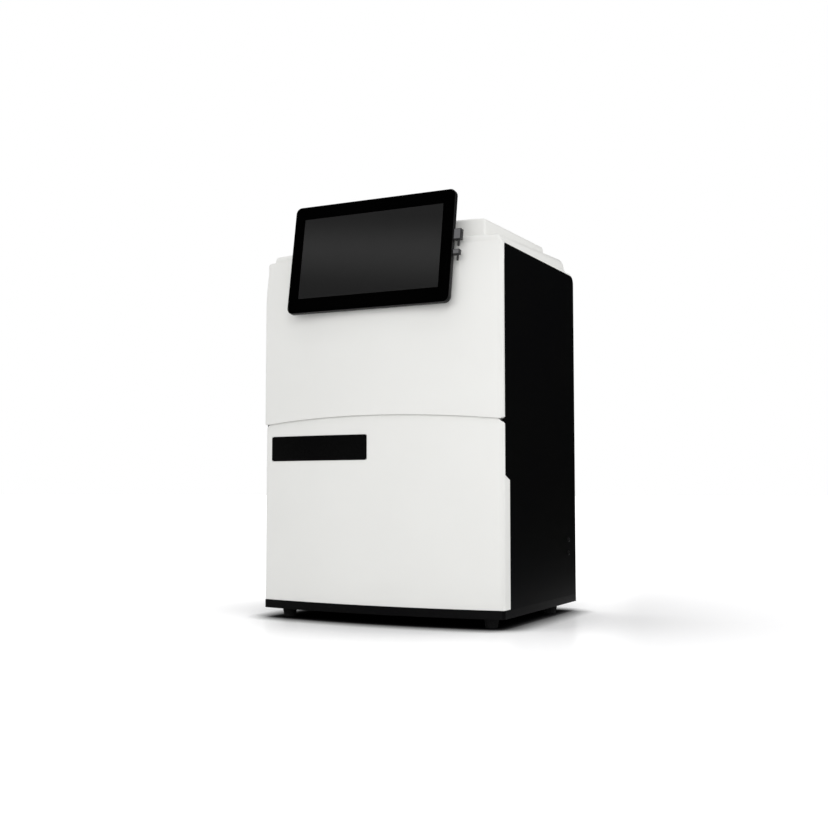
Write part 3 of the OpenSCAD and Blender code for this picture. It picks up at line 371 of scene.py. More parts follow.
# %% [markdown]
# The finishes themselves: two close tones each, a span of roughness and a bump of a few
# hundredths of a millimetre. The blacks are nearly matt, because powder coat scatters what it
# reflects.

# %% Moulded, painted and rubber finishes
white_moulding = finish(
    "white_moulding", (231, 231, 228), (229, 229, 226), rough=(0.34, 0.4), grain=(420.0, 0.006), specular=0.35
)
black_steel = finish(
    "black_steel", (7, 7, 7), (6, 6, 7), rough=(0.49, 0.53), grain=(1800.0, 0.012), specular=0.06
)
# A darker copy of black steel for the base pan: painted shade low down by the floor.
base_black_painted_shade = finish("base_black_painted_shade", (5, 5, 5), (4, 4, 5), rough=(0.4, 0.46), grain=(1600.0, 0.012), specular=0.06)
black_plastic = finish(
    "black_plastic", (24, 24, 25), (19, 19, 20), rough=(0.45, 0.6), grain=(1400.0, 0.03), specular=0.4
)
grey_plastic = finish("grey_plastic", (106, 106, 107), (96, 96, 98), grain=(1500.0, 0.02), specular=0.4)
rubber = finish("rubber", (14, 14, 14), (20, 20, 20), rough=(0.75, 0.9), grain=(1100.0, 0.05), specular=0.2)
plate_black = finish(
    "plate_black", (5, 5, 5), (3, 3, 3), rough=(0.26, 0.34), grain=(1200.0, 0.006), specular=0.08
)
opal_plastic = finish("opal_plastic", (238, 238, 240), (232, 232, 236), transmission=0.15)
circuit_green = finish("circuit_green", (16, 74, 42), (12, 60, 36), rough=(0.35, 0.45), grain=(500.0, 0.03))

print("finishes so far:", len(bpy.data.materials))

# %% [markdown]
# Metals take their colour from what they mirror, so they get a bright base and a metallic
# value of one. The rails and the lamp bars are brushed along the way that they were rolled or
# drawn: their noise is stretched along it. Glass lets nearly everything through, in its tint.

# %% Metals and glass
zinc_steel = finish(
    "zinc_steel", (178, 182, 186), (166, 171, 178), rough=(0.28, 0.42), grain=(300.0, 0.01),
    drift=40.0, metallic=1.0,
)
rail_steel = finish(
    "rail_steel", (188, 191, 194), (180, 183, 187), rough=(0.2, 0.36), grain=(0, 0.008),
    brushed=(1500, 30, 1500), metallic=1.0,
)
aluminium = finish(
    "aluminium", (196, 198, 201), (188, 190, 194), rough=(0.3, 0.45), grain=(0, 0.01),
    brushed=(40, 1500, 1500), metallic=1.0,
)
brass = finish("brass", (214, 190, 120), (200, 172, 104), rough=(0.2, 0.35), metallic=1.0)
screen_black = finish(
    "screen_black", (2, 2, 2), (1, 1, 1), rough=(0.06, 0.09), grain=(40.0, 0.0004), specular=0.2
)
amber_glass = finish(
    "amber_glass", (255, 150, 30), (250, 140, 24), rough=(0.02, 0.04), grain=(30.0, 0.0002), transmission=1.0
)
blue_glass = finish(
    "blue_glass", (40, 70, 190), (34, 62, 180), rough=(0.03, 0.06), grain=(30.0, 0.0002), transmission=0.85
)
print("finishes in all:", len(bpy.data.materials))

# %% [markdown]
# ## The bowed outline
# Seen from above, both white mouldings follow the same path: straight along one side, round
# a small corner, along the long bow, and back along the other side. Each arc is tangent to
# the next, because a crease there would show as a broken highlight. The path is worked out
# for every height at once: the wall can be offset inwards, and the bow can shrink as the
# fascia rolls back at its top.

# %% A path round the front
FASCIA_FWD = 3.5
DRAWER_RECESS = 1.0
CORNER_R = 6.0
WALL = 3.0


def both_sides(rows, right_x, right_y):
    """A path from its right-hand parts: up to the bow, which comes last, and back again mirrored."""
    wide = [np.broadcast_to(part, (rows, part.shape[1])) for part in right_x]
    deep = [np.broadcast_to(part, (rows, part.shape[1])) for part in right_y]
    x = np.hstack(wide + [-part[:, ::-1] for part in wide[-2::-1]])
    y = np.hstack(deep + [part[:, ::-1] for part in deep[-2::-1]])
    return x, y


def front_path(inset, shrink, back, fwd, side=8, corner=12, bow=120):
    """x and y of the front's path, right side first. Rows are heights, columns run along it.

    The corner circle touches the side line and the bow circle inside, so its centre is one
    corner radius from the side and (bow radius minus corner radius) from the bow's centre.
    """
    inset, shrink, back = (np.atleast_1d(v).astype(float)[:, None] for v in (inset, shrink, back))
    radius = bow_r - shrink - inset
    corner_r = np.maximum(CORNER_R - inset, 0.8)
    centre_y = bow_r - front_bow - fwd
    corner_x = half_w - inset - corner_r
    reach = radius - corner_r
    corner_y = centre_y - np.sqrt(reach**2 - corner_x**2)
    turn = np.arctan2(corner_y - centre_y, corner_x)
    along = np.linspace(0, 1, side)[None, :]
    side_x = (half_w - inset) + 0 * along
    side_y = back + (corner_y - back) * along
    angle = turn * np.linspace(0, 1, corner)[None, 1:]
    corner_px = corner_x + corner_r * np.cos(angle)
    corner_py = corner_y + corner_r * np.sin(angle)
    sweep = turn + (-np.pi - 2 * turn) * np.linspace(0, 1, bow)[None, 1:-1]
    bow_px = radius * np.cos(sweep)
    bow_py = centre_y + radius * np.sin(sweep)
    rows = max(len(inset), len(shrink), len(back))
    return both_sides(rows, [side_x, corner_px, bow_px], [side_y, corner_py, bow_py])


print("points on the path:", front_path(0, 0, UPPER_RETURN, 0)[0].shape[1])

# %% [markdown]
# ## The upper fascia
# The fascia is an injection moulding three millimetres thick. It is upright for most of its
# height, then rolls back on a large radius towards the hood, and its lower edge follows the
# arch of the seam. At both ends of the seam a small V is nicked out of the corner. Each of
# these is a function of the place, so it can be added to any point of the wall.

# %% Seam, nick and roll
ROLL_R = 300.0
ROLL_START = 430.0
SEAM_Z = 272.5
SEAM_ARCH = 9.0
SEAM_SHOWN = 0.06
NICK = 3.5
FASCIA_NICK = 2.4
END_R = 6.0
fascia_top = levels("upper_fascia")[1]
seam_r = (half_w**2 + SEAM_ARCH**2) / (2 * SEAM_ARCH)
seam_end = SEAM_Z - SEAM_ARCH


def seam_height(x):
    """The arched seam: a circle through its two ends and its middle."""
    return SEAM_Z - seam_r + np.sqrt(seam_r**2 - np.clip(x, -half_w, half_w) ** 2)


def nick_depth(x, depth=NICK):
    """How far the V at the sides cuts into an edge, growing over its last few millimetres."""
    return depth / NICK * np.clip(NICK - (half_w - np.abs(x)), 0, NICK)


def roll_back(z):
    """How far the fascia has rolled back at a height: the sagitta of its large circle."""
    rise = np.clip(z - ROLL_START, 0, None)
    return ROLL_R - np.sqrt(ROLL_R**2 - rise**2)


def top_edge(x):
    """Height of the fascia's top edge: level, and rounded down at both ends."""
    beyond = np.clip(np.abs(x) - (half_w - END_R), 0, END_R)
    return fascia_top - END_R + np.sqrt(END_R**2 - beyond**2)


print(f"the seam falls {seam_height(0) - seam_height(half_w):.1f} mm from its middle to its ends")

# %% [markdown]
# The wall's profile goes up its outside, round the top edge, down the inside and round the
# seam's edge. It is carried along the bowed path, and the arch is added to the heights: fully
# at the seam, and less and less up to where the roll starts.

# %% The profile of a wall
EDGE = 0.3


def quarter(steps):
    """Angles of a quarter turn, ends included."""
    return np.linspace(0, np.pi / 2, steps)


def wall_profile(heights, wall, edge):
    """A wall's loop as (height share, offset in z, inset): out and up, over, in and down, under."""
    up = [(t, 0.0, 0.0) for t in heights]
    up[0] = (0.0, edge, 0.0)
    up[-1] = (1.0, -edge, 0.0)
    over = [(1.0, -edge + edge * np.sin(a), edge - edge * np.cos(a)) for a in quarter(5)[1:]]
    back_over = [(1.0, -edge + edge * np.cos(a), wall - edge + edge * np.sin(a)) for a in quarter(5)]
    down = [(t, 0.0, wall) for t in heights[::-1][1:-1]]
    under = [(0.0, edge - edge * np.sin(a), wall - edge + edge * np.cos(a)) for a in quarter(5)]
    back_under = [(0.0, edge - edge * np.cos(a), edge - edge * np.sin(a)) for a in quarter(5)][:-1]
    return np.array(up + over + back_over + down + under + back_under)


UPRIGHT_SHARE = 0.68
sparse, dense = np.linspace(0, UPRIGHT_SHARE, 7)[:-1], np.linspace(UPRIGHT_SHARE, 1, 16)
profile = wall_profile([*sparse, *dense], WALL, EDGE)
nominal = seam_end + profile[:, 0] * (fascia_top - seam_end) + profile[:, 1]
x, y = front_path(profile[:, 2], roll_back(nominal), UPPER_RETURN - 0.3, FASCIA_FWD)
lowest = seam_height(x) + SEAM_SHOWN / 2 + nick_depth(x, FASCIA_NICK)
upright = seam_end + profile[:, :1] * (fascia_top - seam_end)
below = np.clip((ROLL_START - upright) / (ROLL_START - seam_end), 0, 1)
above = np.clip((upright - ROLL_START) / (fascia_top - ROLL_START), 0, 1)
z = upright + below * (lowest - seam_end) + above * (top_edge(x) - fascia_top) + profile[:, 1:2]
fascia_shell = grid(stack(x, y, z), close_rows=True, caps=("left", "right"))
print("profile:", len(profile), "points, carried through", x.shape[1], "stations")

# %% [markdown]
# Behind the seam each moulding has a flange, a shelf that stiffens its edge and keeps light
# from the chamber. It is a rectangle carried across, and it follows the arch.

# %% The flange, and the fascia as a piece
def seam_flange(fwd, back, reach, low, high, stations=61):
    """A shelf behind the wall that follows the seam: a rectangle in y and z carried across in x.

    Its front lies just inside the wall's bow, its underside and top keep their distance from
    the seam's arch.
    """
    across = np.linspace(-reach, reach, stations)[:, None]
    inner_r = bow_r - WALL + 0.3
    front = np.minimum(bow_r - front_bow - fwd - np.sqrt(inner_r**2 - across**2), back - 0.5)
    deep = np.hstack([front, back + 0 * across, back + 0 * across, front])
    height = seam_height(across) + np.array([[low, low, high, high]])
    return grid(stack(across + 0 * deep, deep, height), close_cols=True, caps=("first", "last"))


half_gap = SEAM_SHOWN / 2
flange = seam_flange(FASCIA_FWD, UPPER_RETURN - 0.3, half_w - NICK - 0.2, half_gap, half_gap + WALL)
new_piece(
    "fascia_moulding", [fascia_shell, flange], white_moulding, "housing", ["upper_fascia"]
)

# %% [markdown]
# ## The drawer front
# The drawer front is the fascia's partner below the seam. Its sides return further back
# below a step, and its top corners are notched so that it clears the cabinet as it slides.
# So the back end of the path changes with height, and the top edge is the lowest of the
# seam, the V and the notch at each place.

# %% Step, notch and the drawer's moulding
STEP_Z = 182.5
STEP_H = 6.5
LOWER_RETURN = 22.1
NOTCH_FRONT = -6.0
NOTCH_SLOPE = 8.5 / 14.0
ARCH_FROM = 215.0
drawer_bottom = levels("drawer_front")[0]


def return_end(z):
    """Where the side returns end: far back low down, a slope over the step, short above it."""
    return np.interp(z, [STEP_Z, STEP_Z + STEP_H], [LOWER_RETURN, UPPER_RETURN - 0.4])


def drawer_top(x, y):
    """Top edge: the seam less its gap and the V, cut down by the notch on the side returns."""
    seam = seam_height(x) - half_gap
    notch = np.maximum(seam_end + 1.0 - (y - NOTCH_FRONT) * NOTCH_SLOPE, seam_end - 7.5)
    beside = np.clip((np.abs(x) - (half_w - CORNER_R - 0.3)) / 2.5, 0, 1)
    return seam - beside * np.clip(seam - notch, nick_depth(x), None)


step_top = STEP_Z + STEP_H
fixed = np.array([drawer_bottom, 60.0, 120.0, STEP_Z - 0.4, STEP_Z, step_top, step_top + 0.4, ARCH_FROM])
span = seam_end - drawer_bottom
profile = wall_profile([*(fixed - drawer_bottom) / span, 0.86, 0.93, 1.0], WALL, EDGE)
nominal = drawer_bottom + profile[:, 0] * span + profile[:, 1]
x, y = front_path(profile[:, 2], 0, return_end(nominal), -DRAWER_RECESS)
above = np.clip((nominal - profile[:, 1] - ARCH_FROM) / (seam_end - ARCH_FROM), 0, 1)[:, None]
z = nominal[:, None] + above * (drawer_top(x, y) - seam_end)
drawer_shell = grid(stack(x, y, z), close_rows=True, caps=("left", "right"))
flange = seam_flange(
    -DRAWER_RECESS, LOWER_RETURN - 0.4, half_w - CORNER_R - 1.0, -half_gap - WALL, -half_gap
)
new_piece(
    "drawer_moulding", [drawer_shell, flange], white_moulding, "drawer", ["drawer_front"]
)

# %% [markdown]
# ## The hood
# Two low tiers sit on the cabinet. Each is a shallow tray turned over: a bowed front, small
# corners, a sloping back and softly rounded top edges. One closed path, inset a little more
# at every height, makes the whole tier; the last ring is flat and closed by one polygon.


# %% A tier as rings of one closed path
def tier_rings(insets, heights, backs, side_in, front_in, corner, rise, steps=8):
    """Rings round a tier, from the bottom up. Every ring is the bowed path with two back corners.

    The top slopes: a point rises with its share of the way from the front to the back,
    and with its share of the tier's height.
    """
    insets, heights, backs = (np.asarray(v, float)[:, None] for v in (insets, heights, backs))
    half = half_w - side_in - insets
    radius = bow_r - front_in - insets
    centre_y = bow_r - front_bow - FASCIA_FWD
    r = np.maximum(corner - 0.5 * insets, 1.0)
    corner_x = half - r
    corner_y = centre_y - np.sqrt((radius - r) ** 2 - corner_x**2)
    turn = np.arctan2(corner_y - centre_y, corner_x)
    rear = np.pi / 2 * np.linspace(1, 0, steps)[None, :]
    rear_x, rear_y = corner_x + r * np.cos(rear), backs - r + r * np.sin(rear)
    front = turn * np.linspace(0, 1, steps)[None, :]
    front_x, front_y = corner_x + r * np.cos(front), corner_y + r * np.sin(front)
    sweep = turn + (-np.pi - 2 * turn) * np.linspace(0, 1, 90)[None, 1:-1]
    bow_x, bow_y = radius * np.cos(sweep), centre_y + radius * np.sin(sweep)
    x, y = both_sides(len(radius), [rear_x, front_x, bow_x], [rear_y, front_y, bow_y])
    here = centre_y - np.sqrt(radius**2 - np.clip(x, -half, half) ** 2)
    along = np.clip((y - here) / (backs - here), 0, 1)
    share = (heights - heights[0]) / (heights[-1] - heights[0])
    return stack(x, y, heights + rise * share * along)


def tier_shell(side_in, front_in, back0, back1, z0, z1, rise, edge, draft):
    """A tier: straight drafted sides, a quarter-round top edge and a gently sloping top."""
    climb = np.linspace(0, 1, 6)
    turn = quarter(8)[1:]
    heights = np.concatenate([z0 + climb * (z1 - edge - z0), z1 - edge + edge * np.sin(turn)])
    insets = np.concatenate([climb * draft, draft + edge * (1 - np.cos(turn))])
    slope = (heights - z0) / (z1 - z0)
    backs = back0 + slope * (back1 - back0) - np.concatenate([0 * climb, edge * (1 - np.cos(turn))])
    rings = tier_rings(insets, heights, backs, side_in, front_in, edge, rise)
    return grid(rings, close_cols=True, caps=("first", "last"))


TIER1_H, TIER2_H = 10.5, 27.5
panel_top = levels("left_side_panel")[1]
tier1_top = fascia_top + TIER1_H
tier2_top = tier1_top + TIER2_H
lower_tier = tier_shell(
    side_in=6.5, front_in=roll_back(fascia_top) + WALL + 0.3, back0=body_d - 11.0, back1=body_d - 23.0,
    z0=panel_top + 1, z1=tier1_top, rise=10.0, edge=6.0, draft=1.5,
)
upper_tier = tier_shell(
    side_in=34.0, front_in=33.0, back0=body_d - 26.0, back1=body_d - 36.0,
    z0=tier1_top - 2, z1=tier2_top, rise=3.0, edge=4.0, draft=2.0,
)
print(f"tiers: {tier1_top:.1f} and {tier2_top:.1f} mm above the base's underside")

# %% [markdown]
# Below the lower tier a thin rim covers the side panels. Its section is a flat bar with two
# rounded shoulders, drawn once and carried straight back. Where a panel's front corner is
# rounded, a small fillet of the same moulding fills what the rounding leaves.

# %% The rim and its corner fillets
RIM_T, RIM_R = 3.0, 2.6
RIM_BACK = body_d - 12.3
PANEL_FRONT_R = 4.0
sin, cos = np.sin(quarter(7)), np.cos(quarter(7))
right_x = np.append(half_w, half_w - RIM_R + RIM_R * cos)
right_z = np.append(0, RIM_T - RIM_R + RIM_R * sin)
rim_x = np.append(right_x, -right_x[::-1])
rim_z = panel_top + np.append(right_z, right_z[::-1])
stations = np.array([UPPER_RETURN, RIM_BACK])[:, None]
rim = grid(stack(rim_x, stations, rim_z), close_cols=True, caps=("first", "last"))
reach = math.acos(PANEL_FRONT_R / (PANEL_FRONT_R + 0.3))
swing = np.linspace(np.pi - reach, np.pi / 2 + reach, 8)
fillet_y = UPPER_RETURN + PANEL_FRONT_R + (PANEL_FRONT_R + 0.3) * np.cos(swing)
fillet_z = panel_top - PANEL_FRONT_R + (PANEL_FRONT_R + 0.3) * np.sin(swing)
fillet_y = np.append(fillet_y, [fillet_y[-1], UPPER_RETURN])
fillet_z = np.append(fillet_z, [panel_top + 0.5, panel_top + 0.5])
across = np.array([half_w - 2.0, half_w])[:, None]
cover = [rim, lower_tier]
for side in (-1, 1):
    cover.append(grid(stack(side * across, fillet_y, fillet_z), close_cols=True, caps=("first", "last")))
new_piece("top_cover_moulding", cover, white_moulding, "housing", ["top_cover"])
new_piece("camera_hood_moulding", [upper_tier], white_moulding, "housing", ["camera_hood"])

# %% [markdown]
# ## The nameplate
# The plate is a thin label on the drawer front, so it is the same bow, a little larger, cut
# to a rounded rectangle. It stays bare. Its surface is a rounded-rectangle loop shrunk in
# rings towards a middle line; each point is then wrapped on the bow.


# %% Rounded rectangles, and the plate wrapped on the bow
def rounded_loop(w, h, r, inset=0.0, steps=8):
    """Points of a rounded rectangle about the origin, anticlockwise, shrunk by an inset."""
    r2 = max(r - inset, 0.05)
    a, b = w / 2 - inset - r2, h / 2 - inset - r2
    turn = np.concatenate([quarter(steps) + k * np.pi / 2 for k in range(4)])
    sign_x = np.repeat([1, -1, -1, 1], steps)
    sign_y = np.repeat([1, 1, -1, -1], steps)
    return np.stack([sign_x * a + r2 * np.cos(turn), sign_y * b + r2 * np.sin(turn)], -1)


plate_lo, plate_hi = box_mm("nameplate")
plate_w = plate_hi[0] - plate_lo[0]
plate_h = plate_hi[2] - plate_lo[2]
plate_x = (plate_hi[0] + plate_lo[0]) / 2
plate_z = (plate_hi[2] + plate_lo[2]) / 2 - floor_z
PLATE_T, PLATE_R = 0.8, 2.2


def on_bow(u, v, height):
    """A flat point (u across, v up, height proud) wrapped on the drawer's bow."""
    radius = bow_r + 0.05 + height
    centre_y = bow_r - front_bow + DRAWER_RECESS
    angle = (plate_x + u) / bow_r
    return stack(radius * np.sin(angle), centre_y - radius * np.cos(angle), plate_z + v)


def wrapped_plate(w, h, r, rings, columns=48):
    """A thin plate on the bow: rows of a rounded rectangle filled across in columns."""
    across = np.linspace(-1, 1, columns)
    shells = []
    for (inset0, rise0), (inset1, rise1) in zip(rings[:-1], rings[1:]):
        loop0, loop1 = rounded_loop(w, h, r, inset0), rounded_loop(w, h, r, inset1)
        pair = np.array([on_bow(*loop0.T, rise0), on_bow(*loop1.T, rise1)])
        shells.append(grid(pair, close_cols=True))
    for inset, rise in (rings[0], rings[-1]):
        half_u, half_v, r2 = w / 2 - inset, h / 2 - inset, r - inset
        u = across * half_u
        beyond = np.clip(np.abs(u) - (half_u - r2), 0, r2)
        v = half_v - r2 + np.sqrt(np.maximum(r2**2 - beyond**2, 0))
        rows = np.linspace(-1, 1, 3)[:, None]
        shells.append(grid(on_bow(np.broadcast_to(u, (3, columns)), rows * v, rise)))
    return shells


plate_rise = [(0.0, 0.0), (0.0, PLATE_T - 0.25), (0.07, PLATE_T - 0.07), (0.25, PLATE_T)]
plate = wrapped_plate(plate_w, plate_h, PLATE_R, plate_rise)
new_piece("bare_nameplate", plate, plate_black, "drawer", ["nameplate"])

# %% [markdown]
# ## Turned pieces
# Feet, screws, the lens and its rings are all round. A lathe turns a profile of radius and
# height about an axis: the profile is one parameter, the angle is the other. Points on the
# axis meet and are merged, so the poles are closed.


# %% A lathe, and a way to aim it
def turned(profile, steps=48, wobble=None):
    """A surface of revolution about +Z: x = r cos a, y = r sin a. wobble(a, k) may vary r."""
    profile = np.asarray(profile, float)
    angle = np.linspace(0, 2 * np.pi, steps, endpoint=False)[None, :]
    r = profile[:, :1] * np.ones_like(angle)
    if wobble is not None:
        r = wobble(r, angle, profile[:, 1:2])
    return stack(r * np.cos(angle), r * np.sin(angle), profile[:, 1:2])


def aimed(points, axis, at):
    """Turns +Z to an axis and moves the origin to a place."""
    turn = np.array(Vector((0, 0, 1)).rotation_difference(Vector(axis)).to_matrix())
    return points @ turn.T + np.asarray(at, float)


def lathe(profile, at=(0, 0, 0), axis=(0, 0, 1), steps=48, wobble=None):
    """A turned shell, closed round its axis, aimed and placed."""
    return grid(aimed(turned(profile, steps, wobble), axis, at), close_cols=True)


def hexagon(r, angle, z, size, below):
    """Bends a circle into a hexagon of the same inner radius, only below a given height."""
    sector = (angle + np.pi / 6) % (np.pi / 3) - np.pi / 6
    return np.where((z < below) & (r > 0) & (r <= size), size * 0.866 / np.cos(sector), r)


print("a turned disc of 48 steps has", len(lathe([(0, 0), (1, 0)])[1]), "faces")


# %% [markdown]
# ### Rubber feet
# A foot is a short cone with a recess for its screw. The rubber is moulded, so its lower
# edge has a generous radius, and a shallow rib runs round it where the mould parts.

# %% Feet under the base
FOOT_H = base_lo[2] - feet_lo[2]
FOOT_R = 10.5
FOOT_RECESS = 4.0
front_foot = half_w - 28.5, 25.0
rear_foot = half_w - 19.5, body_d - 62.0
foot_places = [(side * foot_x, foot_y) for foot_x, foot_y in (front_foot, rear_foot) for side in (-1, 1)]
foot_bend = [(FOOT_R - 3.2 + 1.2 * math.sin(a), 1.2 - 1.2 * math.cos(a)) for a in quarter(6)]
foot_profile = [(0, FOOT_RECESS), (4.6, FOOT_RECESS), (4.9, FOOT_RECESS - 0.4), (5.0, 0.4), (5.3, 0.0)]
foot_profile += foot_bend
foot_profile += [(FOOT_R - 0.9, 8.4), (FOOT_R - 0.5, 8.7), (FOOT_R - 0.5, 9.5), (FOOT_R - 0.7, 9.8)]
foot_profile += [(FOOT_R - 0.1, FOOT_H - 0.6), (FOOT_R - 0.3, FOOT_H), (0, FOOT_H)]
feet = [lathe(foot_profile, (px, py, -FOOT_H)) for px, py in foot_places]
new_piece("rubber_feet_moulded", feet, rubber, "housing", ["rubber_feet"], crease=50)

# %% [markdown]
# ### Button-head screws
# The screws on the sides and the back have low domed heads with a hexagon socket. The
# socket is the lathe's own profile, with its radius bent into a hexagon below the dome.

# %% Screws
HEAD_R = 3.5
SOCKET = 1.35
dome = [(HEAD_R * math.cos(a), 0.9 + 1.1 * math.sin(a)) for a in quarter(7)]
dome = [p for p in dome if p[0] > SOCKET + 0.3]
screw_profile = [(0, -0.2), (SOCKET, -0.2), (SOCKET, 1.2), (SOCKET + 0.25, 1.85), *dome[::-1]]
screw_profile += [(HEAD_R, 0.25), (HEAD_R - 0.25, 0.0), (1.9, -0.01), (1.9, -6.8), (0, -6.8)]
SIDE_SCREW_Z = (75.0, 94.5)
REAR_SCREW_Z = (60.0, 250.0, 440.0)
side_screw_y = body_d - 33.5
rear_screw_x = half_w - 8.0


def socket_bend(r, angle, z):
    """The hexagon inside the socket."""
    return hexagon(r, angle, z, SOCKET, 1.3)


screw_places = []
for side in (-1, 1):
    screw_places += [((side * half_w, side_screw_y, z), (side, 0, 0)) for z in SIDE_SCREW_Z]
    screw_places += [((side * rear_screw_x, body_d, z), (0, 1, 0)) for z in REAR_SCREW_Z]
screws = [lathe(screw_profile, at, axis, 36, socket_bend) for at, axis in screw_places]
pan_head = [(0, 0.6), (1.6, 0.6), (1.8, 0), (3.6, 0), (4.0, 0.5)]
pan_head += [(4.0, 2.5), (1.9, 2.5), (1.9, 12.0), (0, 12.0)]
screws += [lathe(pan_head, (px, py, FOOT_RECESS - FOOT_H - 2.5)) for px, py in foot_places]
screw_black = finish(
    "screw_black", (26, 26, 27), (20, 20, 21), rough=(0.3, 0.4), grain=(900.0, 0.01),
    metallic=0.6, specular=0.4,
)
new_piece("button_screws", screws, screw_black, "housing", ["housing_screws"], crease=30)

# %% [markdown]
# ## The touch screen
# The screen is a slab with a rounded back and a flat glass front. It is drawn upright about
# its own middle, x across, v up and d deep behind the glass, and then leaned back. Loops of
# one rounded rectangle at different insets and depths make the case; the glass has a polished
# edge, and a shallow recess in it holds the display's pane.

# %% The screen's own frame
LEAN = math.radians(9.0)
SCREEN_W, SCREEN_H, SCREEN_T, SCREEN_R = 254.0, 160.4, 9.0, 9.0
SCREEN_X, SCREEN_Y, SCREEN_Z = -1.8, -24.0, fascia_top - 5.8
GLASS_T = 1.1


def leaned(x, d, v):
    """Screen coordinates (across, deep, up) to cabinet ones: turned back about X, then moved."""
    y = SCREEN_Y + d * math.cos(LEAN) + v * math.sin(LEAN)
    return stack(SCREEN_X + x, y, SCREEN_Z - d * math.sin(LEAN) + v * math.cos(LEAN))


def slab(w, h, r, rings, centre=(0.0, 0.0), caps=("first", "last"), steps=10):
    """A slab in the screen's frame: rings are (inset, depth)."""
    loops = np.array([rounded_loop(w, h, r, inset, steps) for inset, _ in rings])
    depth = np.array([[d] for _, d in rings])
    points = leaned(loops[..., 0] + centre[0], depth, loops[..., 1] + centre[1])
    return grid(points, close_cols=True, caps=caps)


BACK_R = 2.6
back_bend = [(BACK_R - BACK_R * math.cos(a), SCREEN_T - BACK_R + BACK_R * math.sin(a)) for a in quarter(8)]
case_rings = [(1.2, GLASS_T), (0.25, GLASS_T), (0.0, GLASS_T + 0.3)] + back_bend
case = slab(SCREEN_W, SCREEN_H, SCREEN_R, case_rings)
screen_case_black = finish(
    "screen_case_black", (13, 13, 14), (10, 10, 11), rough=(0.4, 0.5), grain=(1500.0, 0.01), specular=0.3
)
new_piece("screen_case", [case], screen_case_black, "screen", ["screen_shell"], crease=50)

# %% [markdown]
# The glass covers the whole face. Its rim is ground to a quarter round, which draws the fine
# bright line round a tablet, and the rings go on inwards to the window's edge and down it.

# %% Glass with a polished edge and a window
DISPLAY_W, DISPLAY_H = 219.5, 119.0
DISPLAY_AT = (-0.2, 0.8)
WINDOW_DEEP = 0.3
edge_bend = [(0.2 + 0.7 - 0.7 * math.sin(a), 0.7 - 0.7 * math.cos(a)) for a in quarter(6)][::-1]
glass_rings = [(0.6, GLASS_T), (0.2, GLASS_T)] + edge_bend
outer_loops = np.array([rounded_loop(SCREEN_W, SCREEN_H, SCREEN_R, inset, 10) for inset, _ in glass_rings])
window = rounded_loop(DISPLAY_W, DISPLAY_H, 1.2, 0.0, 10) + np.array(DISPLAY_AT)
loops = np.concatenate([outer_loops, [window, window]])
depths = np.array([[d] for _, d in glass_rings] + [[0.0], [WINDOW_DEEP]])
glass = grid(leaned(loops[..., 0], depths, loops[..., 1]), close_cols=True, caps=("first", "last"))
new_piece("screen_glass_face", [glass], screen_black, "screen", ["screen_glass"], crease=30)

# %% [markdown]
# An unlit display is dark grey, with a painted reflection on it: its colour brightens in a soft
# band across the pane, a little lower at its right end, and darker towards the top and the
# bottom. The band is worked out from object coordinates, so it stays on the glass from any side.

# %% The display's pane
REFLECTION_BAND_FALL = 0.108


def display_with_painted_reflection():
    """Dark grey with a painted reflection: a soft bright band along a ramp of the height plus a share of x.
    """
    material = finish(
        "display_painted_reflection", (35, 35, 35), (38, 38, 38), rough=(0.1, 0.14), grain=(60.0, 0.0004), specular=0.2
    )
    nodes, link = material.node_tree.nodes, material.node_tree.links.new
    lo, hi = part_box("screen_display")
    place = make(nodes, "ShaderNodeTexCoord")
    split = make(nodes, "ShaderNodeSeparateXYZ")
    slope = make(nodes, "ShaderNodeMath", operation="MULTIPLY_ADD")
    slope.inputs[1].default_value = REFLECTION_BAND_FALL
    share = make(nodes, "ShaderNodeMapRange", _From_Min=lo[2], _From_Max=hi[2])
    # The painted reflection: a ramp of base colour, dark at the top and bottom and brightest in its middle.
    reflection_band = make(nodes, "ShaderNodeValToRGB")
    reflection_band.color_ramp.interpolation = "EASE"
    stops = reflection_band.color_ramp.elements
    stops[0].position, stops[0].color = 0.02, shade((33, 33, 33))
    stops[1].position, stops[1].color = 0.98, shade((34, 34, 34))
    stops.new(0.54).color = shade((48, 48, 48))
    link(place.outputs["Object"], split.inputs["Vector"])
    link(split.outputs["X"], slope.inputs[0])
    link(split.outputs["Z"], slope.inputs[2])
    link(slope.outputs["Value"], share.inputs["Value"])
    link(share.outputs["Result"], reflection_band.inputs["Fac"])
    link(reflection_band.outputs["Color"], nodes["Principled BSDF"].inputs["Base Color"])
    return material


display_painted_reflection = display_with_painted_reflection()
pane = slab(
    DISPLAY_W - 0.1, DISPLAY_H - 0.1, 1.15, [(0.0, WINDOW_DEEP - 0.02), (0.0, 0.06), (0.04, 0.02)], DISPLAY_AT
)
new_piece("display_pane", [pane], display_painted_reflection, "screen", ["screen_display"])

# %% [markdown]
# ## Plugs
# Two plugs stand in the screen's right edge. Each is an over-moulded grip with softly rounded
# edges and a ribbed strain relief pointing down. A rounded box is one formula: a sphere cut
# into eight octants that are moved apart to the corners of an inner box.


# %% Rounded boxes and strain reliefs
def rounded_box(lo, hi, r, steps=4):
    """A box with rounded edges: corner centre plus r times a direction on the sphere."""
    lo, hi = np.asarray(lo, float), np.asarray(hi, float)
    middle, half = (lo + hi) / 2, (hi - lo) / 2 - r
    around = np.concatenate([quarter(steps) + k * np.pi / 2 for k in range(4)])[None, :]
    up = np.concatenate([-quarter(steps)[::-1], quarter(steps)])[:, None]
    sign_x = np.repeat([1, -1, -1, 1], steps)[None, :]
    sign_y = np.repeat([1, 1, -1, -1], steps)[None, :]
    sign_z = np.repeat([-1, 1], steps)[:, None]
    x = middle[0] + sign_x * half[0] + r * np.cos(up) * np.cos(around)
    y = middle[1] + sign_y * half[1] + r * np.cos(up) * np.sin(around)
    z = middle[2] + sign_z * half[2] + r * np.sin(up) * np.ones_like(around)
    return stack(x, y, z)


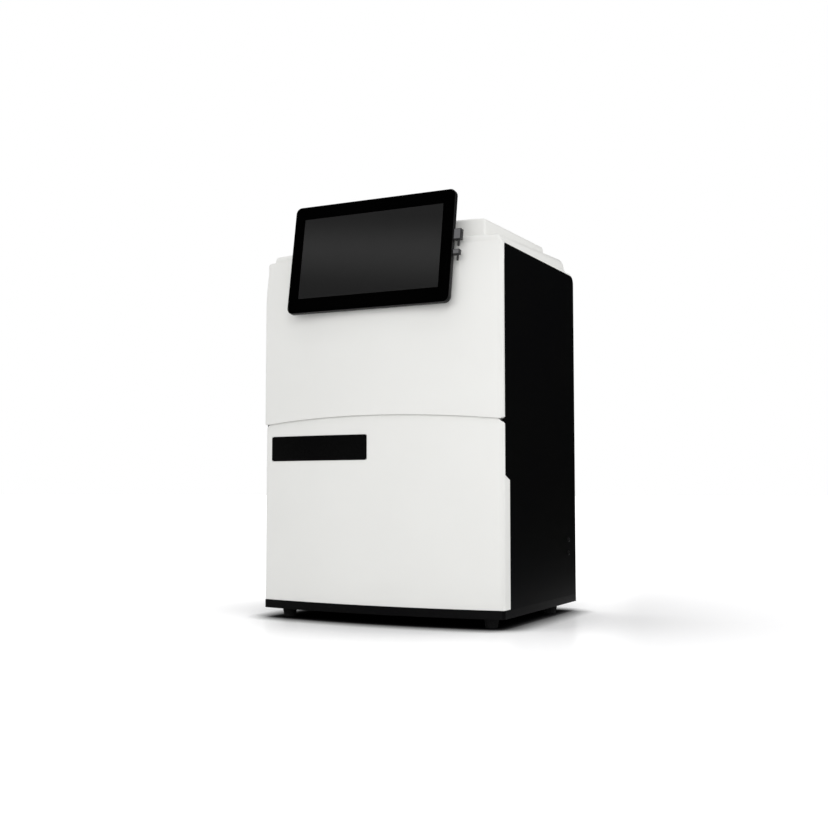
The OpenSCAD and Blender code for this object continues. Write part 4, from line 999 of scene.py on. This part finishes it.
def in_screen(points):
    """A cabinet-style grid drawn in the screen's frame, leaned back with it."""
    return leaned(points[..., 0], points[..., 1], points[..., 2])


def screen_box(lo, hi, r):
    """A closed rounded box in the screen's frame."""
    return grid(in_screen(rounded_box(lo, hi, r)), close_cols=True, caps=("first", "last"))


def relief(at, radius, length, ribs=5):
    """A strain relief pointing down: a sleeve with ribs, narrowing to the lead."""
    t = np.linspace(0, 1, 6 * ribs + 1)
    rib = 0.14 * radius * (np.cos(2 * np.pi * ribs * t) > 0)
    radii = radius * (1 - 0.18 * t) - rib
    rows = [(0, 0)] + [(r, -length * s) for r, s in zip(radii, t)] + [(0, -length)]
    points = turned(rows, 24) + np.array(at)
    return grid(in_screen(points), close_cols=True)


EDGE_X = SCREEN_W / 2
STEM_X, STEM_Y = EDGE_X + 7.0, 4.6


def ribbed_face(lo, hi, front, ribs=6):
    """A grip face: a thin slab whose front steps in and out in upright ribs along x."""
    x = np.linspace(lo[0], hi[0], 8 * ribs + 1)[:, None]
    share = (x - lo[0]) / (hi[0] - lo[0])
    y = front - 0.12 - 0.16 * (np.cos(2 * np.pi * ribs * share) < 0)
    deep = np.hstack([y, y, front + 0.4 + 0 * x, front + 0.4 + 0 * x])
    points = stack(x, deep, [[lo[1], hi[1], hi[1], lo[1]]])
    return grid(in_screen(points), close_cols=True, caps=("first", "last"))


def plug(name, z, grip, tongue, stem_r, stem_l, r):
    """A plug: grip, tongue and strain relief in a dark tone that is painted shade, and a grey ribbed face."""
    grip, tongue = np.array(grip) / 2, np.array(tongue)
    middle = np.array([EDGE_X + 0.3 + grip[0], STEM_Y, z])
    lo = (EDGE_X - tongue[0], STEM_Y - tongue[1] / 2, z - tongue[2] / 2)
    hi = (EDGE_X + 0.5, STEM_Y + tongue[1] / 2, z + tongue[2] / 2)
    sleeve = relief((STEM_X, STEM_Y, z - grip[2] + 0.2), stem_r, stem_l)
    body = [screen_box(middle - grip, middle + grip, r), screen_box(lo, hi, 0.3), sleeve]
    new_piece(name + "_grip", body, plug_painted_shade, "screen", [name], crease=45)
    low, high = (middle - grip + 1.1)[[0, 2]], (middle + grip - 1.1)[[0, 2]]
    face = ribbed_face(low, high, STEM_Y - grip[1])
    new_piece(name + "_ribs", [face], grey_plastic, "screen", crease=20)


# The dark plug tone is painted shade: the shaded sides and edges round a grey plug's face.
plug_painted_shade = finish("plug_painted_shade", (44, 44, 45), (38, 38, 39), grain=(1500.0, 0.02), specular=0.3)
plug("usb_plug", 14.5, grip=(11.0, 8.0, 15.2), tongue=(11.5, 4.4, 12.0), stem_r=2.0, stem_l=8.7, r=0.6)
plug("micro_usb_plug", -10.3, grip=(10.0, 7.0, 7.4), tongue=(5.5, 2.2, 6.2), stem_r=1.9, stem_l=8.5, r=0.9)

# %% [markdown]
# The power button and the volume rocker are two small bars in the screen's top edge. Each is a
# piece of its own, because each is pressed by itself.

# %% Buttons of the screen
BUTTON_Y0, BUTTON_Y1 = SCREEN_T - 5.0, SCREEN_T - 3.0
BUTTON_IN, BUTTON_PROUD = 3.0, 0.8


def edge_button(name, at, w):
    """A small bar in the screen's top edge: at and w are along it, from its left end."""
    middle, top = at - SCREEN_W / 2, SCREEN_H / 2
    low, high = (middle - w / 2, BUTTON_Y0, top - BUTTON_IN), (middle + w / 2, BUTTON_Y1, top + BUTTON_PROUD)
    bar = screen_box(low, high, 0.35)
    new_piece(name + "_cap", [bar], black_plastic, name, ["screen_" + name])


edge_button("power_button", 40, 12)
edge_button("volume_rocker", 80, 24)

# %% [markdown]
# ## Lens and rings
# The lens looks straight down through the amber filter. Its barrel is turned, and its two
# rings are knurled: the radius of each ring dips a little at even angles, deep enough to
# catch a fingertip.

# %% Lens barrel, knurled rings and the front element
lens_lo, lens_hi = box_mm("lens_barrel")
camera_y = (lens_lo[1] + lens_hi[1]) / 2 - chord_y
z0, z1 = levels("lens_barrel")
f0, f1 = levels("focus_ring")
i0, i1 = levels("iris_ring")
LENS_R = 18.0
KNURL_DEEP = 0.7


def ring_shell(bottom, top, outer, teeth):
    """A knurled ring: bore, chamfers and an outside whose two middle rows dip at even angles."""
    h = top - bottom
    bore = LENS_R - 3 + 0.05
    rows = [(bore, 0), (outer - 0.6, 0), (outer, 0.6), (outer, 1.6), (outer, 2.2), (outer, h - 2.2)]
    rows += [(outer, h - 1.6), (outer, h - 0.6), (outer - 0.6, h), (bore, h)]
    rows = np.array(rows)
    dips = np.array([0, 0, 0, 0, 1, 1, 0, 0, 0, 0])[:, None]
    angle = np.linspace(0, 2 * np.pi, teeth * 8, endpoint=False)[None, :]
    r = rows[:, :1] - KNURL_DEEP * dips * np.clip(np.cos(angle * teeth) * 3 - 1.4, 0, 1)
    points = stack(r * np.cos(angle), camera_y + r * np.sin(angle), rows[:, 1:2] + bottom)
    return grid(points, close_rows=True, close_cols=True)


barrel_rows = [
    (LENS_R - 6, z0 + 3), (LENS_R - 6, z0 + 0.4), (LENS_R - 5.6, z0), (LENS_R - 0.5, z0), (LENS_R, z0 + 0.5),
    (LENS_R, f0 - 0.5), (LENS_R - 0.4, f0 - 0.1), (LENS_R - 3, f0 - 0.05), (LENS_R - 3, f1 + 0.05),
    (LENS_R - 0.4, f1 + 0.1), (LENS_R, f1 + 0.5), (LENS_R, i0 - 0.5), (LENS_R - 0.4, i0 - 0.1),
    (LENS_R - 3, i0 - 0.05), (LENS_R - 3, i1 + 0.05), (LENS_R - 1.9, i1 + 0.1), (LENS_R - 1.5, i1 + 0.5),
    (LENS_R - 1.5, z1 - 0.5), (LENS_R - 2, z1), (0, z1),
]
element = [((LENS_R - 6.2) * math.sin(a), z0 + 3 - 1.8 * math.cos(a)) for a in np.linspace(0, np.pi / 2, 10)]
lens_glass = finish(
    "coated_lens", (10, 12, 26), (18, 10, 30), rough=(0.02, 0.04), grain=(30.0, 0.0001), specular=0.8,
    coat=1.0, coat_rough=0.1,
)
barrel = lathe(barrel_rows, (0, camera_y, 0), steps=96)
new_piece(
    "lens_barrel_turned", [barrel], black_plastic, "housing", ["lens_barrel"], crease=30
)
front_element = lathe(element + [(0, z0 + 3)], (0, camera_y, 0), steps=64)
new_piece("lens_front_element", [front_element], lens_glass, "housing")
for body, bottom, top, outer, teeth in (("focus", f0, f1, 21, 36), ("iris", i0, i1, 20, 30)):
    ring, node = ring_shell(bottom, top, outer, teeth), body + "_ring"
    new_piece(node + "_knurled", [ring], black_plastic, body, [node], crease=30)

# %% [markdown]
# ## Sheet metal and the rest
# The remaining nodes are folded sheets, machined blocks and flat plates. They keep their
# solids and get deburred edges; how wide the bevel is depends on how the piece is made.

# %% Deburring the rest
rails = [side + member + "_rail" for side in ("left_", "right_") for member in ("outer", "middle", "inner")]
DEBURRED = [
    (base_black_painted_shade, "black_steel", {"base_pan": 0.6}),
    (black_steel, "black_steel", {
        "left_side_panel": 0.5, "right_side_panel": 0.5, "rear_panel": 0.5, "front_frame": 0.3,
        "rear_bulkhead": 0.3, "camera_shelf": 0.3, "drawer_backing": 0.3, "drawer_tray": 0.3,
        "table_case": 0.5, "tablet_bracket": 0.5, "screen_cradle": 0.5,
    }),
    (zinc_steel, "zinc_steel", {
        "left_chassis_plate": 0.3, "right_chassis_plate": 0.3, "striker_plate": 0.2, "hinge_pin": 0.4,
        "drawer_magnet": 0.3,
    }),
    (rail_steel, "zinc_steel", dict.fromkeys(rails, 0.15)),
    (black_plastic, "black_plastic", {
        "camera_body": 0.5, "filter_holder": 0.4, "mains_inlet": 0.5, "fuse_drawer": 0.25,
        "power_rocker": 0.4, "contact_block": 0.4, "contact_plug": 0.4,
    }),
    (rubber, "rubber", {"light_seal": 0.3}),
    (aluminium, "aluminium", {"power_supply": 0.4, "white_light_bars": 0.3}),
    (opal_plastic, "opal", {"light_diffusers": 0.3, "diffuser_plate": 0.3}),
    (circuit_green, "circuit", {"control_board": 0.15, "blue_led_array": 0.15}),
    (brass, "brass", {"inlet_blades": 0.3}),
    (blue_glass, "blue_glass", {"viewing_glass": 0.4}),
    (amber_glass, "amber_glass", {"amber_filter": 0.3}),
]
for material, slot, widths in DEBURRED:
    for node, width in widths.items():
        deburred(node, material, width)
for node in ("outer_ball_cages", "inner_ball_cages"):
    cages = frame["nodes"][node]
    cages.data.materials.clear()
    cages.data.materials.append(zinc_steel)
print("nodes shown as packed:", [name for name, thing in frame["nodes"].items() if not thing.hide_render])

# %% [markdown]
# ## Floor, light and camera
# The cabinet stands on a pale, slightly glossy floor in an evenly lit white room. The world
# lights it from all around, and one broad lamp from the front adds a gentle turn to the bow.
# White in the background comes from what camera, glossy and transmitted rays see, and never
# from more light on the object.

# %% The rays that see the room
def arithmetic(tree, operation, first, second):
    """A Math node fed by sockets or plain numbers, and its output."""
    node = make(tree.nodes, "ShaderNodeMath", operation=operation)
    for socket, given in zip(node.inputs, (first, second)):
        if isinstance(given, float):
            socket.default_value = given
        else:
            tree.links.new(given, socket)
    return node.outputs["Value"]


def seen_directly(tree):
    """1 for the rays that show the room itself: camera, glossy and transmission rays."""
    rays = make(tree.nodes, "ShaderNodeLightPath").outputs
    mirrored = arithmetic(tree, "MAXIMUM", rays["Is Glossy Ray"], rays["Is Transmission Ray"])
    return arithmetic(tree, "MAXIMUM", rays["Is Camera Ray"], mirrored)


WORLD_LIGHT = 0.6
world = bpy.data.worlds.new("white_room")
bpy.context.scene.world = world
world.use_nodes = True
around = world.node_tree.nodes["Background"].inputs
around["Color"].default_value = (1, 1, 1, 1)
extra = arithmetic(world.node_tree, "MULTIPLY", seen_directly(world.node_tree), 1.0 - WORLD_LIGHT)
strength = arithmetic(world.node_tree, "ADD", extra, WORLD_LIGHT)
world.node_tree.links.new(strength, around["Strength"])
print("the world lights the object at", WORLD_LIGHT, "and is seen at 1")

# %% [markdown]
# The floor is a plane. Its shadow is what grounds the cabinet, so the finish adds to the
# lamps' own soft shadow a painted shadow, darkening the floor where it sees little of the room.

# %% The floor
def floor_finish(lift=0.56, pale=0.82):
    """A pale floor with a soft gloss, lifted to white for rays that see it directly.

    The pale finish is mixed with black, a painted shadow, by how open a point is: the share of the room
    that it can see within a long reach, times a power of that share within a short one. So the painted
    shadow is deep under the base and fades softly in front of it. Bounced light is left as it is.
    """
    material = bpy.data.materials.new("pale_floor")
    material.use_nodes = True
    tree = material.node_tree
    shader = tree.nodes["Principled BSDF"]
    shader.inputs["Base Color"].default_value = (pale, pale, pale * 1.01, 1)
    shader.inputs["Roughness"].default_value = 0.3
    shader.inputs["Specular IOR Level"].default_value = 0.3
    shader.inputs["Emission Color"].default_value = (1, 1, 1, 1)
    near = make(tree.nodes, "ShaderNodeAmbientOcclusion", samples=16, _Distance=0.04).outputs["AO"]
    far = make(tree.nodes, "ShaderNodeAmbientOcclusion", samples=16, _Distance=0.45).outputs["AO"]
    # Painted shadow: the floor's colour goes towards black where little of the room is open to it.
    painted_shadow_openness = arithmetic(tree, "MULTIPLY", arithmetic(tree, "POWER", near, 2.5), far)
    seen = seen_directly(tree)
    pale_share = arithmetic(tree, "MAXIMUM", painted_shadow_openness, arithmetic(tree, "SUBTRACT", 1.0, seen))
    mixed = make(tree.nodes, "ShaderNodeMixShader")
    black = make(tree.nodes, "ShaderNodeBsdfDiffuse", _Color=(0, 0, 0, 1))
    tree.links.new(pale_share, mixed.inputs["Fac"])
    tree.links.new(black.outputs[0], mixed.inputs[1])
    tree.links.new(shader.outputs[0], mixed.inputs[2])
    tree.links.new(arithmetic(tree, "MULTIPLY", seen, lift), shader.inputs["Emission Strength"])
    tree.links.new(mixed.outputs[0], tree.nodes["Material Output"].inputs["Surface"])
    return material


bpy.ops.mesh.primitive_plane_add(size=60.0)
floor = bpy.context.object
floor.name = "floor"
floor.data.materials.append(floor_finish())
print("floor laid at z = 0")

# %% [markdown]
# One broad lamp in front does most of the work. The right and hood fills are kept out of
# reflections, so they lighten the white mouldings' sides without a glare on the black ones.

# %% Lamps
def facing(place, target):
    """The rotation that turns -Z from a place towards a target."""
    return (Vector(target) - Vector(place)).to_track_quat("-Z", "Y")


def area_lamp(name, place, target, size, power, in_gloss=True):
    """A broad soft lamp aimed at a point, which may stay out of reflections."""
    lamp = bpy.data.lights.new(name, "AREA")
    lamp.size, lamp.energy = size, power
    thing = bpy.data.objects.new(name, lamp)
    thing.location = place
    thing.rotation_euler = facing(place, target).to_euler()
    thing.visible_glossy = in_gloss
    bpy.context.scene.collection.objects.link(thing)


area_lamp("front_key", (0.38, -3.3, 0.62), (0, 0, 0.2), 2.6, 43.0)
area_lamp("right_fill", (3.0, 1.9, 1.1), (0.19, 0, 0.4), 2.4, 58.0, in_gloss=False)
area_lamp("hood_fill", (1.3, -2.2, 1.5), (0.1, 0, 0.6), 0.9, 10.0, in_gloss=False)
area_lamp("top_fill", (-0.6, -0.4, 2.8), (0, 0, 0.3), 2.4, 8.0)
print("lamps:", [lamp.name for lamp in bpy.data.lights])

# %% [markdown]
# A black product is lit between dark cards, or its sides would mirror the white room. These
# cards are seen by glossy rays alone, so they keep the black sides and the glass black and
# take no light from anything. The right one also lets short rays through, because the pale
# floor beside it would show it otherwise.


# %% Dark cards
def dark_card(name, place, target, w, h, clear=0.0):
    """A black card that only glossy rays see, from its front and from further off than clear."""
    material = bpy.data.materials.new(name)
    material.use_nodes = True
    tree = material.node_tree
    tree.nodes.clear()
    ray_length = make(tree.nodes, "ShaderNodeLightPath").outputs["Ray Length"]
    close = arithmetic(tree, "LESS_THAN", ray_length, clear)
    behind = make(tree.nodes, "ShaderNodeNewGeometry").outputs["Backfacing"]
    either = make(tree.nodes, "ShaderNodeMixShader")
    black = make(tree.nodes, "ShaderNodeBsdfDiffuse", _Color=(0.004, 0.004, 0.004, 1))
    tree.links.new(arithmetic(tree, "MAXIMUM", behind, close), either.inputs["Fac"])
    tree.links.new(black.outputs[0], either.inputs[1])
    tree.links.new(make(tree.nodes, "ShaderNodeBsdfTransparent").outputs[0], either.inputs[2])
    tree.links.new(either.outputs[0], make(tree.nodes, "ShaderNodeOutputMaterial").inputs["Surface"])
    mesh = bpy.data.meshes.new(name)
    corners = [(-w / 2, -h / 2, 0), (w / 2, -h / 2, 0), (w / 2, h / 2, 0), (-w / 2, h / 2, 0)]
    mesh.from_pydata(corners, [], [(3, 2, 1, 0)])
    mesh.transform(Matrix.Translation(place) @ facing(place, target).to_matrix().to_4x4())
    mesh.materials.append(material)
    card = bpy.data.objects.new(name, mesh)
    bpy.context.scene.collection.objects.link(card)
    for kind in ("camera", "diffuse", "shadow", "transmission", "volume_scatter"):
        setattr(card, "visible_" + kind, False)
    print(f"{name}: {w} by {h} m")


dark_card("card_right", (1.1, 2.0, 1.1), (0.19, 0.1, 0.4), 4.0, 3.4, clear=2.0)
dark_card("card_front_left", (-1.4, -2.3, 1.4), (0, 0, 0.5), 4.4, 3.4)
dark_card("card_low", (1.9, 1.4, 0.002), (1.9, 1.4, 1.0), 3.3, 4.4)

# %% [markdown]
# The camera stands a little to the right, low, and looks very slightly up, with a normal lens.

# %% The camera
camera_data = bpy.data.cameras.new("camera")
camera_data.lens = 49.71
camera_data.sensor_width = 36.0
camera = bpy.data.objects.new("camera", camera_data)
camera.location = (0.75694, -1.52585, 0.18356)
camera.rotation_euler = (math.radians(90 + 3.793), 0.0, math.radians(26.64))
bpy.context.scene.collection.objects.link(camera)
bpy.context.scene.camera = camera
bpy.context.scene.view_settings.view_transform = "Standard"
print("camera at", tuple(camera.location))
